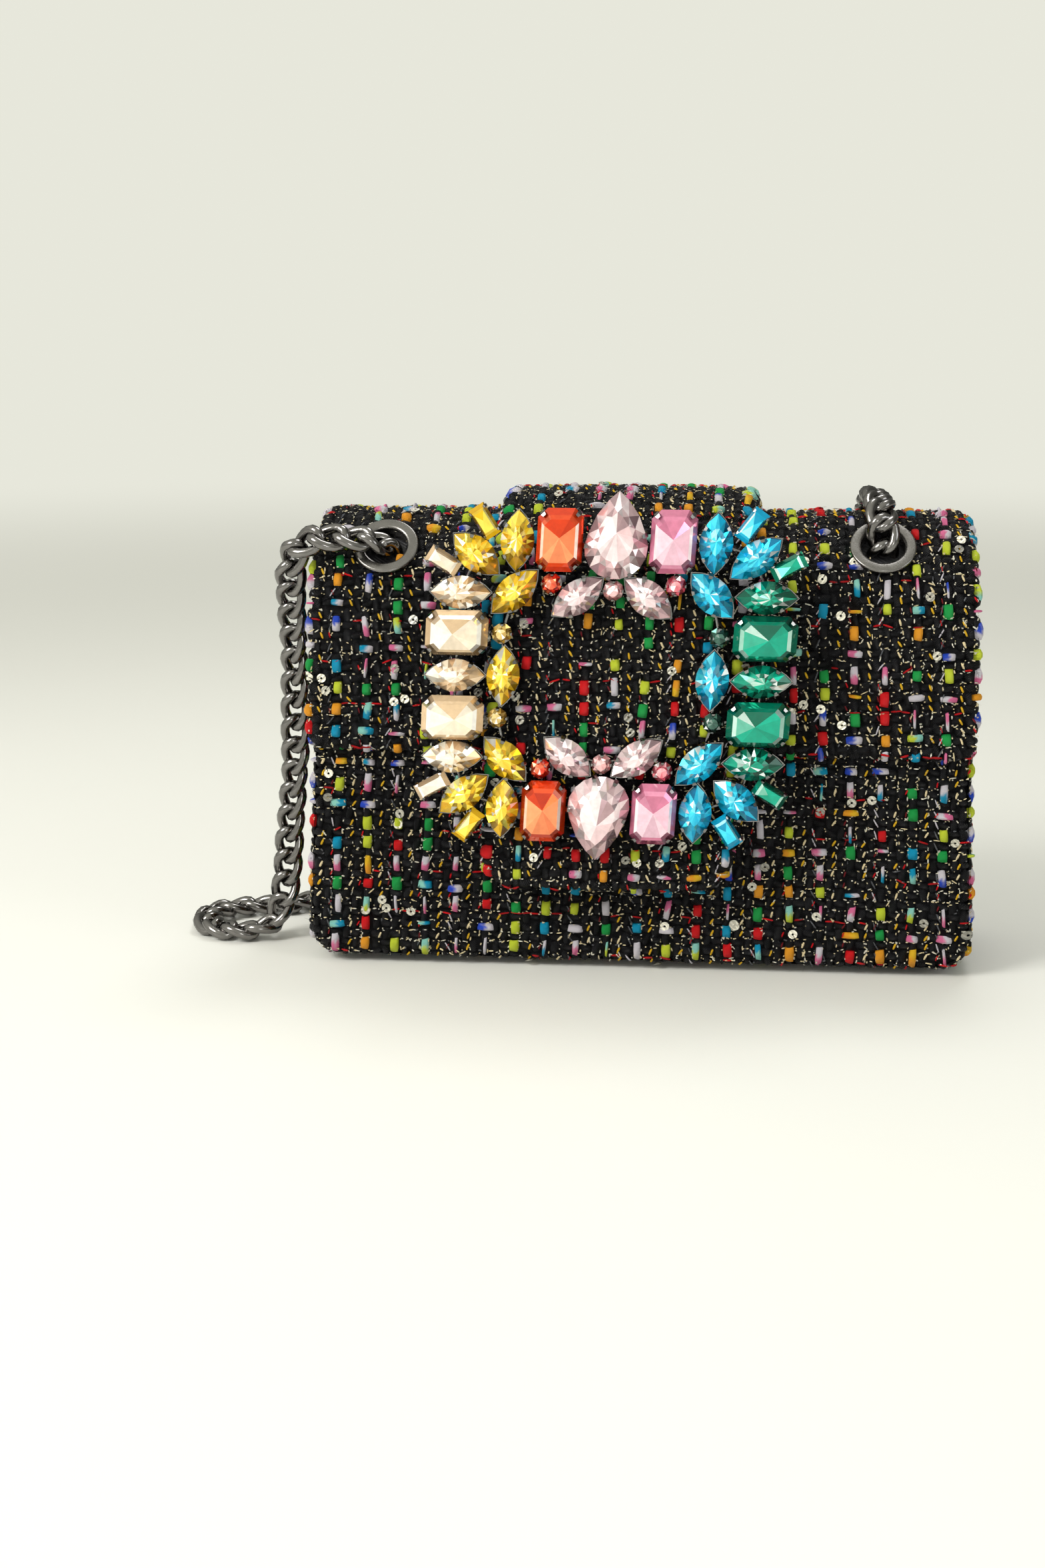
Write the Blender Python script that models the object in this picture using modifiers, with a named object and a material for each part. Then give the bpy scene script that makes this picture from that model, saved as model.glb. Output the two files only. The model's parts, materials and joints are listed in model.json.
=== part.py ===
"""Flap-top evening bag with a jewelled ornament on its centre tab and a chain strap.

Metres, +Z up. X runs along the bag's width, the front faces -Y, and the origin is on the
underside of the base, at the middle of the bag's width and of its body's depth. The flap, the
tab, the ornament and the eyelets turn together about the fold at the top of the back.
"""

import math

import bmesh
import bpy
from mathutils import Matrix, Vector

# ---- driving dimensions ----
GAP = 0.0003  # between pieces that touch
BAG_WIDTH = 0.192  # of the flap, over the top
BAG_HEIGHT = 0.1355  # to the top of the flap, under the tab
FLAP_FLARE = 0.0026  # how much further each side of the flap reaches at its lower edge
BODY_FLARE = 0.0049  # the same for the body, from the hinge's height to the table
SHOULDER_RADIUS = 0.030  # the flap's outer face over the top; the body is twice as deep
BODY_CORNER = 0.009  # the body's lower corners, seen from the front
PANEL_THICKNESS = 0.0028

FLAP_THICKNESS = 0.0022
FLAP_LINING_THICKNESS = 0.0010
FLAP_EDGE_HEIGHT = 0.0663  # the flap's lower edge, above the table
SHOULDER_STEPS = 16  # facets over the half circle of the shoulder

TAB_WIDTH = 0.0755
TAB_THICKNESS = 0.0055
TAB_BACKING_THICKNESS = 0.0010
TAB_END_HEIGHT = 0.0275
TAB_END_X = -0.0092
TAB_CORNER = 0.011
TAB_START_DEG = 152  # where the tab begins on the back of the shoulder
TAB_LEAN_DEG = 2.5  # the tab's top leans towards +X

LINING_THICKNESS = 0.0010
LINING_CORNER = 0.005
LINING_DROP = 0.002  # the lining's rim, below the hinge
BOARD_THICKNESS = 0.0015
BOARD_END_GAP = 0.012
POCKET_WIDTH = 0.110
POCKET_BOTTOM = 0.030
POCKET_TOP = 0.085

MAGNET_RADIUS = 0.007
MAGNET_HEIGHT = 0.036
WASHER_THICKNESS = 0.0009

EYELET_X = 0.072
EYELET_SHIFT = -0.0025  # both eyelets sit this far off the bag's middle
LEFT_EYELET_DEG = 43  # where each eyelet sits on the shoulder, up from the front
RIGHT_EYELET_DEG = 46
EYELET_OUTER = 0.0095
EYELET_HOLE = 0.0062
EYELET_RIM = 0.0015  # how far the ring stands above the flap
BARREL_WALL = 0.0007
EYELET_WASHER_OUTER = 0.009
EYELET_WASHER_THICKNESS = 0.0008
EYELET_PADDING = 0.0020  # between the flat washer's rim and the curved lining over it
TOGGLE_RADIUS = 0.0015
TOGGLE_LENGTH = 0.022

ORNAMENT_X = -0.0086
ORNAMENT_Z = 0.0914
COLUMN_LEAN_DEG = 3.7  # the ornament's columns lean, their tops towards +X
ROW_SLOPE_DEG = 0.4  # its rows fall towards +X
CUP_THICKNESS = 0.0012
CUP_SHARE = 0.9  # a cup's outline as a share of its stone's
SMALL_STONE_HEIGHT = 0.0030
WIRE_RADIUS = 0.0004

CHAIN_RADIUS = 0.0033  # of a round cord that stands for the links, 10 mm wide and 5.5 mm thick
CHAIN_STEP = 0.016

# ---- places that follow from them ----
HALF_WIDTH = BAG_WIDTH / 2
HINGE_Y = SHOULDER_RADIUS
HINGE_Z = BAG_HEIGHT - SHOULDER_RADIUS
BODY_HALF_WIDTH = HALF_WIDTH - 0.0005  # at the hinge's height
FLAP_INNER = SHOULDER_RADIUS - FLAP_THICKNESS - GAP - FLAP_LINING_THICKNESS
FRONT_Y = -(FLAP_INNER - GAP)  # the front panel's outer face
FRONT_INNER_Y = FRONT_Y + PANEL_THICKNESS
BACK_INNER_Y = FLAP_INNER  # the back is as thick as the flap and its lining
GUSSET_LOW_Y = FRONT_INNER_Y + GAP
GUSSET_HIGH_Y = BACK_INNER_Y - GAP
LINING_LOW_Y = GUSSET_LOW_Y + WASHER_THICKNESS + GAP
LINING_BOTTOM = PANEL_THICKNESS + BOARD_THICKNESS + 2 * GAP
LINING_TOP = HINGE_Z - LINING_DROP
EYELET_WASHER_DEPTH = SHOULDER_RADIUS - FLAP_INNER + EYELET_PADDING
BARREL_DEPTH = EYELET_WASHER_DEPTH + EYELET_WASHER_THICKNESS + 0.0002
TOGGLE_DEPTH = BARREL_DEPTH + 0.0006 + TOGGLE_RADIUS
TAB_INNER = SHOULDER_RADIUS + GAP  # the backing's inner face
TAB_BACKING_OUTER = TAB_INNER + TAB_BACKING_THICKNESS
MAGNET_THICKNESS = (TAB_INNER + FRONT_Y - 3 * GAP) / 2  # the two halves fill the space there
TAB_OUTER = TAB_BACKING_OUTER + GAP + TAB_THICKNESS
CUP_BACK_Y = -(TAB_OUTER + GAP)
CUP_FRONT_Y = CUP_BACK_Y - CUP_THICKNESS
STONE_BACK_Y = CUP_FRONT_Y - GAP
EYELETS = [
    ("left", EYELET_SHIFT - EYELET_X, LEFT_EYELET_DEG),
    ("right", EYELET_SHIFT + EYELET_X, RIGHT_EYELET_DEG),
]

# ---- the ornament's stones: half sizes across and along, and height ----
STONE_SIZES = {
    "pear": (0.0090, 0.0125, 0.0066),
    "octagon": (0.0065, 0.0090, 0.0052),
    "navette": (0.0045, 0.0090, 0.0046),
    "baguette": (0.0025, 0.0050, SMALL_STONE_HEIGHT),
    "round": (0.0030, 0.0030, SMALL_STONE_HEIGHT),
}
# The upper right quarter: name, kind, place across and up in mm, turn of the long side from
# upright in degrees, clockwise. The other quarters mirror it.
QUARTER = [
    ("octagon_end", "octagon", 16.0, 39.4, 0),
    ("navette_end", "navette", 28.0, 39.0, 0),
    ("navette_corner", "navette", 39.5, 35.0, 50),
    ("navette_side", "navette", 43.4, 24.0, 90),
    ("octagon_side", "octagon", 43.9, 12.4, 90),
    ("navette_inner", "navette", 28.0, 24.4, -45),
    ("navette_leaf", "navette", 10.0, 23.2, -52),
    ("baguette_outer", "baguette", 37.6, 44.2, 35),
    ("baguette_side", "baguette", 48.8, 32.8, 60),
    ("round_red", "round", 17.6, 26.9, 0),
    ("round_inner", "round", 31.0, 12.3, 0),
]
PEAR_UP = 41.0
CENTRE_ROUND_UP = 25.2
MIDDLE_NAVETTES = [("navette_middle", 43.8, 90), ("navette_inside", 29.9, 0)]
END_STONES = ("octagon_end", "navette_leaf", "round_red")  # in the top and bottom frames
STONE_COLOURS = {
    "left": (0.93, 0.75, 0.10),
    "right": (0.02, 0.50, 0.60),
    "middle": (0.93, 0.72, 0.76),
}

# ---- the chain's route in mm, from the left eyelet to the right one ----
CHAIN_ROUTE = [
    (-74.5, -17.0, 121.3),
    (-74.5, -21.9, 126.0),
    (-76.7, -24.9, 128.4),
    (-82.0, -26.6, 129.0),
    (-90.0, -26.2, 129.2),
    (-97.6, -25.8, 128.4),
    (-102.4, -23.0, 123.4),
    (-104.2, -17.0, 111.0),
    (-105.0, -10.0, 87.0),
    (-106.4, -5.2, 60.0),
    (-109.4, -2.0, 34.0),
    (-111.6, -1.0, 14.5),
    (-115.5, -3.6, 5.0),
    (-125.0, -6.4, 3.5),
    (-134.6, -3.0, 3.5),
    (-139.0, 7.5, 3.5),
    (-134.8, 18.0, 3.5),
    (-124.0, 22.8, 3.5),
    (-112.5, 25.8, 3.5),
    (-106.0, 35.0, 3.5),
    (-103.2, 47.5, 3.5),
    (-99.5, 62.0, 3.5),
    (-92.0, 84.0, 3.5),
    (-76.0, 98.0, 3.5),
    (-54.0, 101.0, 3.5),
    (52.0, 101.0, 3.5),
    (67.0, 96.5, 3.5),
    (72.5, 85.0, 3.5),
    (67.0, 73.5, 3.5),
    (52.0, 69.0, 3.5),
    (-48.0, 69.0, 3.5),
    (-60.5, 64.0, 3.5),
    (-65.0, 53.2, 3.5),
    (-60.5, 42.3, 3.5),
    (-48.0, 37.8, 3.5),
    (46.0, 37.8, 3.5),
    (59.0, 37.6, 5.4),
    (66.2, 36.6, 14.5),
    (68.4, 35.6, 30.0),
    (68.5, 34.9, 60.0),
    (68.2, 34.5, 92.0),
    (68.0, 34.4, 106.6),
    (67.8, 30.9, 121.5),
    (67.9, 19.9, 133.9),
    (68.1, 4.8, 139.5),
    (68.4, -7.9, 139.8),
    (68.7, -17.0, 138.0),
    (69.0, -20.6, 135.4),
    (69.4, -22.7, 131.0),
    (69.5, -20.8, 127.1),
    (69.5, -16.3, 121.9),
]

# ---- colours: base colour, metallic, roughness ----
TWEED = ((0.03, 0.03, 0.035), 0.0, 0.85)
LINING_CLOTH = ((0.02, 0.02, 0.022), 0.0, 0.55)
GUNMETAL = ((0.30, 0.30, 0.31), 1.0, 0.28)
SILVER = ((0.62, 0.62, 0.63), 1.0, 0.22)
FIBREBOARD = ((0.30, 0.25, 0.18), 0.0, 0.8)


# ---- setting up ----
def clear_scene():
    for obj in list(bpy.data.objects):
        bpy.data.objects.remove(obj, do_unlink=True)


def new_collection(name, hidden=False):
    collection = bpy.data.collections.new(name)
    bpy.context.scene.collection.children.link(collection)
    collection.hide_render = hidden
    return collection


def make_material(name, look):
    colour, metallic, roughness = look
    material = bpy.data.materials.new(name)
    material.use_nodes = True
    shader = material.node_tree.nodes["Principled BSDF"]
    shader.inputs["Base Color"].default_value = (*colour, 1)
    shader.inputs["Metallic"].default_value = metallic
    shader.inputs["Roughness"].default_value = roughness
    material.diffuse_color = (*colour, 1)
    return material


def add_object(name, mesh, look, parent=None, collection=None):
    obj = bpy.data.objects.new(name, mesh)
    (collection or BAG).objects.link(obj)
    mesh.materials.append(make_material(name, look))
    if parent:
        obj.parent = parent
        obj.matrix_parent_inverse = parent.matrix_world.inverted()
    return obj


def mesh_from(bm, name):
    bmesh.ops.recalc_face_normals(bm, faces=bm.faces)
    mesh = bpy.data.meshes.new(name)
    bm.to_mesh(mesh)
    bm.free()
    return mesh


def add_modifier(obj, kind, **settings):
    modifier = obj.modifiers.new(kind.title(), kind)
    for key, value in settings.items():
        setattr(modifier, key, value)
    return modifier


# ---- shapes ----
def shoulder_rows(radius, start_deg, end_height):
    """(y, z) down a sheet that follows the shoulder at that radius, then hangs to end_height."""
    step = 180 / SHOULDER_STEPS
    angles = [start_deg]
    angle = math.floor(start_deg / step) * step
    while angle >= 0:
        if angle < start_deg - 0.01:
            angles.append(angle)
        angle -= step
    rows = []
    for angle in angles:
        turn = math.radians(angle)
        rows.append((-radius * math.cos(turn), HINGE_Z + radius * math.sin(turn)))
    drop = HINGE_Z - end_height
    rows += [(-radius, HINGE_Z - drop * share) for share in (0.5, 0.75)]
    return rows + [(-radius, end_height)]


def bent_sheet(name, rows, spans, columns, thickness, look, parent):
    """A grid whose rows lie at the (y, z) of rows and reach across spans, thickened inwards."""
    bm = bmesh.new()
    bmesh.ops.create_grid(bm, x_segments=columns, y_segments=len(rows) - 1, size=1)
    for vert in bm.verts:
        row = round((1 - vert.co.y) / 2 * (len(rows) - 1))
        across = (vert.co.x + 1) / 2
        low, high = spans[row]
        vert.co = (low + (high - low) * across, rows[row][0], rows[row][1])
    mesh = bpy.data.meshes.new(name)
    bm.to_mesh(mesh)
    bm.free()
    obj = add_object(name, mesh, look, parent)
    add_modifier(obj, "SOLIDIFY", thickness=thickness, offset=-1, use_even_offset=True)
    return obj


def plate(name, outline, low, high, look, parent=None):
    """A flat plate: its outline is (x, z) points, and it reaches from y = low to y = high."""
    curve = bpy.data.curves.new(name, "CURVE")
    curve.dimensions = "2D"
    curve.fill_mode = "BOTH"
    curve.extrude = (high - low) / 2
    spline = curve.splines.new("POLY")
    spline.points.add(len(outline) - 1)
    for point, (x, z) in zip(spline.points, outline):
        point.co = (x, z, 0, 1)
    spline.use_cyclic_u = True
    obj = add_object(name, curve, look, parent)
    obj.matrix_world = Matrix.Translation((0, (low + high) / 2, 0)) @ Matrix.Rotation(
        math.pi / 2, 4, "X"
    )
    return obj


def arc(centre, radius, start_deg, end_deg, steps):
    turns = [start_deg + (end_deg - start_deg) * i / steps for i in range(steps + 1)]
    return [
        (
            centre[0] + radius * math.cos(math.radians(turn)),
            centre[1] + radius * math.sin(math.radians(turn)),
        )
        for turn in turns
    ]


def turned(name, profile, centre, axis, look, parent, steps=20):
    """A closed (radius, height) profile turned about axis through centre."""
    mesh = bpy.data.meshes.new(name)
    count = len(profile)
    mesh.from_pydata(
        [(r, 0, h) for r, h in profile], [(i, (i + 1) % count) for i in range(count)], []
    )
    obj = add_object(name, mesh, look)
    add_modifier(obj, "SCREW", steps=steps, render_steps=steps, merge_threshold=0.00001)
    turn = Vector(axis).to_track_quat("Z", "Y").to_matrix().to_4x4()
    obj.matrix_world = Matrix.Translation(centre) @ turn
    if parent:
        obj.parent = parent
        obj.matrix_parent_inverse = parent.matrix_world.inverted()
    return obj


def cylinder(name, radius, length, centre, axis, look, parent=None, collection=None, sides=20):
    bm = bmesh.new()
    bmesh.ops.create_cone(
        bm, cap_ends=True, segments=sides, radius1=radius, radius2=radius, depth=length
    )
    obj = add_object(name, mesh_from(bm, name), look, None, collection)
    turn = Vector(axis).to_track_quat("Z", "Y").to_matrix().to_4x4()
    obj.matrix_world = Matrix.Translation(centre) @ turn
    if parent:
        obj.parent = parent
        obj.matrix_parent_inverse = parent.matrix_world.inverted()
    return obj


def cut(obj, cutter):
    cutter.hide_render = True
    cutter.display_type = "WIRE"
    add_modifier(obj, "BOOLEAN", operation="DIFFERENCE", solver="EXACT", object=cutter)


def on_shoulder(x, degrees, depth):
    """The point that far under the flap's outer face, and the face's normal there."""
    turn = math.radians(degrees)
    normal = Vector((0, -math.cos(turn), math.sin(turn)))
    return Vector((x, 0, HINGE_Z)) + normal * (SHOULDER_RADIUS - depth), normal


# ---- the body ----
def lower_corner():
    """The body's lower right corner as (x, z) points, from the slanting side to the bottom."""
    corner = BODY_CORNER
    side = BODY_HALF_WIDTH + BODY_FLARE * (1 - corner / HINGE_Z)
    return arc((side - corner, corner), corner, 0, -90, 4)


def make_body():
    for name, top, low, high in (
        ("front_panel", HINGE_Z - 0.001, FRONT_Y, FRONT_INNER_Y),
        ("back_panel", HINGE_Z - GAP, BACK_INNER_Y, HINGE_Y),
    ):
        outline = [(BODY_HALF_WIDTH, top)] + lower_corner()
        outline += [(-x, z) for x, z in reversed(outline)]
        plate(name, outline, low, high, TWEED)
    make_gusset_band()
    make_lining()
    make_board_and_pocket()


def make_gusset_band():
    """One strip up the left side, under the bag and up the right, with round upper ends."""
    middle_y = (GUSSET_LOW_Y + GUSSET_HIGH_Y) / 2
    half = (GUSSET_HIGH_Y - GUSSET_LOW_Y) / 2
    end_radius = half - GAP
    side = BODY_HALF_WIDTH
    path, halves = [], []
    for turn in (0, 15, 30, 45, 60, 75):
        rise = end_radius * math.cos(math.radians(turn))
        path.append((-side, HINGE_Z + rise))
        halves.append(max(end_radius * math.sin(math.radians(turn)), 0.003))
    path += [(-side, HINGE_Z), (-side - BODY_FLARE / 2, HINGE_Z / 2)]
    halves += [end_radius, half]
    lower = [(-x, z) for x, z in lower_corner()]
    path += lower
    halves += [half] * len(lower)
    path += [(-x, z) for x, z in reversed(path)]
    halves += list(reversed(halves))
    bm = bmesh.new()
    bmesh.ops.create_grid(bm, x_segments=2, y_segments=len(path) - 1, size=1)
    for vert in bm.verts:
        row = round((1 - vert.co.y) / 2 * (len(path) - 1))
        x, z = path[row]
        vert.co = (x, middle_y + halves[row] * vert.co.x, z)
    mesh = bpy.data.meshes.new("gusset_band")
    bm.to_mesh(mesh)
    bm.free()
    obj = add_object("gusset_band", mesh, TWEED)
    add_modifier(obj, "SOLIDIFY", thickness=PANEL_THICKNESS, offset=1, use_even_offset=True)


def make_lining():
    """The cloth bin inside: an open box with rounded lower corners."""
    half = BODY_HALF_WIDTH - PANEL_THICKNESS - GAP
    size = (2 * half, GUSSET_HIGH_Y - LINING_LOW_Y, LINING_TOP - LINING_BOTTOM)
    centre = (0, (GUSSET_HIGH_Y + LINING_LOW_Y) / 2, (LINING_TOP + LINING_BOTTOM) / 2)
    bm = bmesh.new()
    bmesh.ops.create_cube(bm, size=1)
    bmesh.ops.scale(bm, vec=size, verts=bm.verts)
    bmesh.ops.translate(bm, vec=centre, verts=bm.verts)
    lid = [face for face in bm.faces if face.normal.z > 0.5]
    bmesh.ops.delete(bm, geom=lid, context="FACES_ONLY")
    low_ends = [
        edge for edge in bm.edges
        if all(vert.co.z < centre[2] for vert in edge.verts)
        and abs(edge.verts[0].co.x - edge.verts[1].co.x) < GAP
    ]
    bmesh.ops.bevel(
        bm, geom=low_ends, offset=LINING_CORNER, segments=3, affect="EDGES", profile=0.5
    )
    mesh = bpy.data.meshes.new("lining")
    bm.to_mesh(mesh)
    bm.free()
    obj = add_object("lining", mesh, LINING_CLOTH)
    add_modifier(obj, "SOLIDIFY", thickness=LINING_THICKNESS, offset=-1, use_even_offset=True)


def box(name, low, high, look, parent=None):
    bm = bmesh.new()
    bmesh.ops.create_cube(bm, size=1)
    bmesh.ops.scale(bm, vec=Vector(high) - Vector(low), verts=bm.verts)
    obj = add_object(name, mesh_from(bm, name), look)
    obj.location = (Vector(low) + Vector(high)) / 2
    if parent:
        obj.parent = parent
        obj.matrix_parent_inverse = parent.matrix_world.inverted()
    return obj


def make_board_and_pocket():
    reach = BODY_HALF_WIDTH - BOARD_END_GAP
    low = (-reach, GUSSET_LOW_Y + GAP, PANEL_THICKNESS + GAP)
    high = (reach, GUSSET_HIGH_Y - GAP, PANEL_THICKNESS + GAP + BOARD_THICKNESS)
    box("base_board", low, high, FIBREBOARD)
    pocket_y = GUSSET_HIGH_Y - LINING_THICKNESS - GAP
    low = (-POCKET_WIDTH / 2, pocket_y - LINING_THICKNESS, POCKET_BOTTOM)
    box("slip_pocket", low, (POCKET_WIDTH / 2, pocket_y, POCKET_TOP), LINING_CLOTH)


# ---- the flap and its tab ----
def flap_spans(rows, inset):
    """Each row's reach: the sides flare from the top of the shoulder to the lower edge."""
    fall = BAG_HEIGHT - FLAP_EDGE_HEIGHT
    spans = []
    for y, z in rows:
        share = (BAG_HEIGHT - z) / fall if y < 0 else 0
        reach = HALF_WIDTH + FLAP_FLARE * share - inset
        spans.append((-reach, reach))
    return spans


def make_flap(hinge):
    start = math.degrees(GAP / SHOULDER_RADIUS)
    rows = shoulder_rows(SHOULDER_RADIUS, 180 - start, FLAP_EDGE_HEIGHT)
    spans = flap_spans(rows, 0)
    outer = bent_sheet("flap_outer", rows, spans, 2, FLAP_THICKNESS, TWEED, hinge)
    radius = SHOULDER_RADIUS - FLAP_THICKNESS - GAP
    rows = shoulder_rows(radius, 180 - start, FLAP_EDGE_HEIGHT + 0.002)
    spans = flap_spans(rows, 0.002)
    lining = bent_sheet(
        "flap_lining", rows, spans, 2, FLAP_LINING_THICKNESS, LINING_CLOTH, hinge
    )
    for side, x, degrees in EYELETS:
        centre, normal = on_shoulder(x, degrees, FLAP_THICKNESS)
        hole = cylinder(
            f"eyelet_hole_{side}", EYELET_HOLE + BARREL_WALL + GAP, 0.02, centre, normal,
            TWEED, None, CUTTERS,
        )
        cut(outer, hole)
        cut(lining, hole)


def tab_spans(rows, half, corner):
    """Each row's reach, for a strip that leans and whose lower corners are round."""
    length = [0]
    for (y0, z0), (y1, z1) in zip(rows, rows[1:]):
        length.append(length[-1] + math.hypot(y1 - y0, z1 - z0))
    spans = []
    for at in length:
        to_end = length[-1] - at
        middle = TAB_END_X + to_end * math.tan(math.radians(TAB_LEAN_DEG))
        reach = half
        if to_end < corner:
            reach = half - corner + math.sqrt(corner**2 - (corner - to_end) ** 2)
        spans.append((middle - reach, middle + reach))
    return spans


def tab_rows(radius, end_height, corner):
    rows = shoulder_rows(radius, TAB_START_DEG, end_height)
    lower = [end_height + corner * (1 - math.sin(math.radians(t))) for t in (0, 25, 50, 75)]
    return [row for row in rows[:-1] if row[1] > lower[0] + 0.002] + [
        (-radius, z) for z in lower
    ] + [rows[-1]]


def make_tab(hinge):
    rows = tab_rows(TAB_OUTER, TAB_END_HEIGHT, TAB_CORNER)
    spans = tab_spans(rows, TAB_WIDTH / 2, TAB_CORNER)
    bent_sheet("tab_outer", rows, spans, 4, TAB_THICKNESS, TWEED, hinge)
    inset = 0.001
    rows = tab_rows(TAB_BACKING_OUTER, TAB_END_HEIGHT + inset, TAB_CORNER)
    spans = tab_spans(rows, TAB_WIDTH / 2 - inset, TAB_CORNER)
    bent_sheet(
        "tab_backing", rows, spans, 4, TAB_BACKING_THICKNESS, LINING_CLOTH, hinge
    )


def make_magnet(hinge):
    x = TAB_END_X + (MAGNET_HEIGHT - TAB_END_HEIGHT) * math.tan(math.radians(TAB_LEAN_DEG))
    along = (0, 1, 0)
    half = MAGNET_THICKNESS / 2
    socket_y = FRONT_Y - GAP - half
    cylinder(
        "magnet_socket", MAGNET_RADIUS, MAGNET_THICKNESS, (x, socket_y, MAGNET_HEIGHT),
        along, GUNMETAL,
    )
    stud_y = -(TAB_INNER - GAP) + half
    cylinder(
        "magnet_stud", MAGNET_RADIUS, MAGNET_THICKNESS, (x, stud_y, MAGNET_HEIGHT),
        along, GUNMETAL, hinge,
    )
    washer_y = FRONT_INNER_Y + GAP + WASHER_THICKNESS / 2
    cylinder(
        "magnet_socket_washer", MAGNET_RADIUS, WASHER_THICKNESS,
        (x, washer_y, MAGNET_HEIGHT), along, SILVER,
    )


def make_eyelet(side, x, degrees, hinge):
    centre, normal = on_shoulder(x, degrees, 0)
    barrel = EYELET_HOLE + BARREL_WALL
    soft = 0.0005
    profile = [
        (EYELET_OUTER - soft, EYELET_RIM),
        (EYELET_OUTER, EYELET_RIM - soft),
        (EYELET_OUTER, GAP),
        (barrel, GAP),
        (barrel, -BARREL_DEPTH),
        (EYELET_HOLE, -BARREL_DEPTH),
        (EYELET_HOLE, EYELET_RIM - soft),
        (EYELET_HOLE + soft, EYELET_RIM),
    ]
    turned(f"eyelet_{side}", profile, centre, normal, GUNMETAL, hinge)
    top = -EYELET_WASHER_DEPTH
    low = top - EYELET_WASHER_THICKNESS
    inner = barrel + GAP
    washer = [(EYELET_WASHER_OUTER, top), (EYELET_WASHER_OUTER, low), (inner, low), (inner, top)]
    turned(f"eyelet_washer_{side}", washer, centre, normal, SILVER, hinge)
    toggle, _ = on_shoulder(x, degrees, TOGGLE_DEPTH)
    cylinder(
        f"chain_toggle_{side}", TOGGLE_RADIUS, TOGGLE_LENGTH, toggle, (1, 0, 0),
        GUNMETAL, hinge, sides=10,
    )


# ---- the ornament ----
def outline_of(kind):
    """A stone's outline as (across, along) points, anticlockwise, its long side upright."""
    across, along, _ = STONE_SIZES[kind]
    if kind == "navette":
        steps = [-1 + i / 3 for i in range(7)]
        right = [(across * (1 - t * t), along * t) for t in steps]
        return right + [(-x, z) for x, z in reversed(right[1:-1])]
    if kind == "pear":
        centre = across - along
        round_end = arc((0, centre), across, -200, 20, 10)
        return round_end + [(across * 0.52, along * 0.52), (0, along), (-across * 0.52, along * 0.52)]
    if kind == "octagon":
        cut_off = across * 0.38
        right = [(across - cut_off, -along), (across, -along + cut_off)]
        right += [(across, along - cut_off), (across - cut_off, along)]
        return right + [(-x, z) for x, z in reversed(right)]
    if kind == "round":
        return arc((0, 0), across, 0, 315, 7)
    return [(across, -along), (across, along), (-across, along), (-across, -along)]


def placed(points, across, up, turn_deg, flip):
    """Outline points moved to their place on the ornament, whose columns lean and rows slope."""
    turn = math.radians(turn_deg)
    out = []
    for x, z in points:
        z = z * flip
        u = across + x * math.cos(turn) + z * math.sin(turn)
        v = up - x * math.sin(turn) + z * math.cos(turn)
        out.append((
            ORNAMENT_X + u + v * math.tan(math.radians(COLUMN_LEAN_DEG)),
            ORNAMENT_Z + v - u * math.tan(math.radians(ROW_SLOPE_DEG)),
        ))
    return out


def stacked(name, kind, place, levels, look, collection=None, parent=None):
    """A body of stacked outlines: levels are (share of the outline, y), from back to front."""
    bm = bmesh.new()
    rings = []
    for share, y in levels:
        points = [(x * share, z * share) for x, z in outline_of(kind)]
        rings.append([bm.verts.new((x, y, z)) for x, z in placed(points, *place)])
    bm.faces.new(rings[0])
    bm.faces.new(rings[-1])
    for low, high in zip(rings, rings[1:]):
        for i in range(len(low)):
            j = (i + 1) % len(low)
            bm.faces.new((low[i], low[j], high[j], high[i]))
    return add_object(name, mesh_from(bm, name), look, parent, collection)


def all_stones():
    """(name, kind, place, frame, side) of every stone."""
    found = []
    for up, end in ((1, "top"), (-1, "bottom")):
        found.append((f"pear_{end}", "pear", (0, up * PEAR_UP / 1000, 0, up), end, "middle"))
        place = (0, up * CENTRE_ROUND_UP / 1000, 0, 1)
        found.append((f"round_centre_{end}", "round", place, end, "middle"))
        for across, side in ((-1, "left"), (1, "right")):
            for name, kind, x, z, turn in QUARTER:
                place = (across * x / 1000, up * z / 1000, across * up * turn, 1)
                frame = end if name in END_STONES else side
                found.append((f"{name}_{end}_{side}", kind, place, frame, side))
    for across, side in ((-1, "left"), (1, "right")):
        for name, x, turn in MIDDLE_NAVETTES:
            place = (across * x / 1000, 0, turn, 1)
            found.append((f"{name}_{side}", "navette", place, side, side))
    return found


def make_stone(name, kind, place, side, hinge):
    height = STONE_SIZES[kind][2]
    levels = [
        (0.86, STONE_BACK_Y),
        (1.0, STONE_BACK_Y - 0.35 * height),
        (0.60, STONE_BACK_Y - height),
    ]
    look = (STONE_COLOURS[side], 0.0, 0.05)
    stacked(f"stone_{name}", kind, place, levels, look, None, hinge)


def make_cup(name, kind, place):
    levels = [(CUP_SHARE, CUP_BACK_Y), (CUP_SHARE, CUP_FRONT_Y)]
    if kind in ("round", "baguette"):
        front = CUP_FRONT_Y - SMALL_STONE_HEIGHT
        levels = [(1, CUP_BACK_Y), (1, CUP_FRONT_Y - SMALL_STONE_HEIGHT / 2), (0.6, front)]
    return stacked(f"cup_{name}", kind, place, levels, SILVER, CUTTERS)


def make_wire(name, start, end):
    """A round wire between two points given as (across, up) on the ornament."""
    (x0, z0), (x1, z1) = placed([start], 0, 0, 0, 1) + placed([end], 0, 0, 0, 1)
    y = (CUP_BACK_Y + CUP_FRONT_Y) / 2
    a, b = Vector((x0, y, z0)), Vector((x1, y, z1))
    return cylinder(
        name, WIRE_RADIUS, (b - a).length, (a + b) / 2, b - a, SILVER, None, CUTTERS, 6
    )


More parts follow.
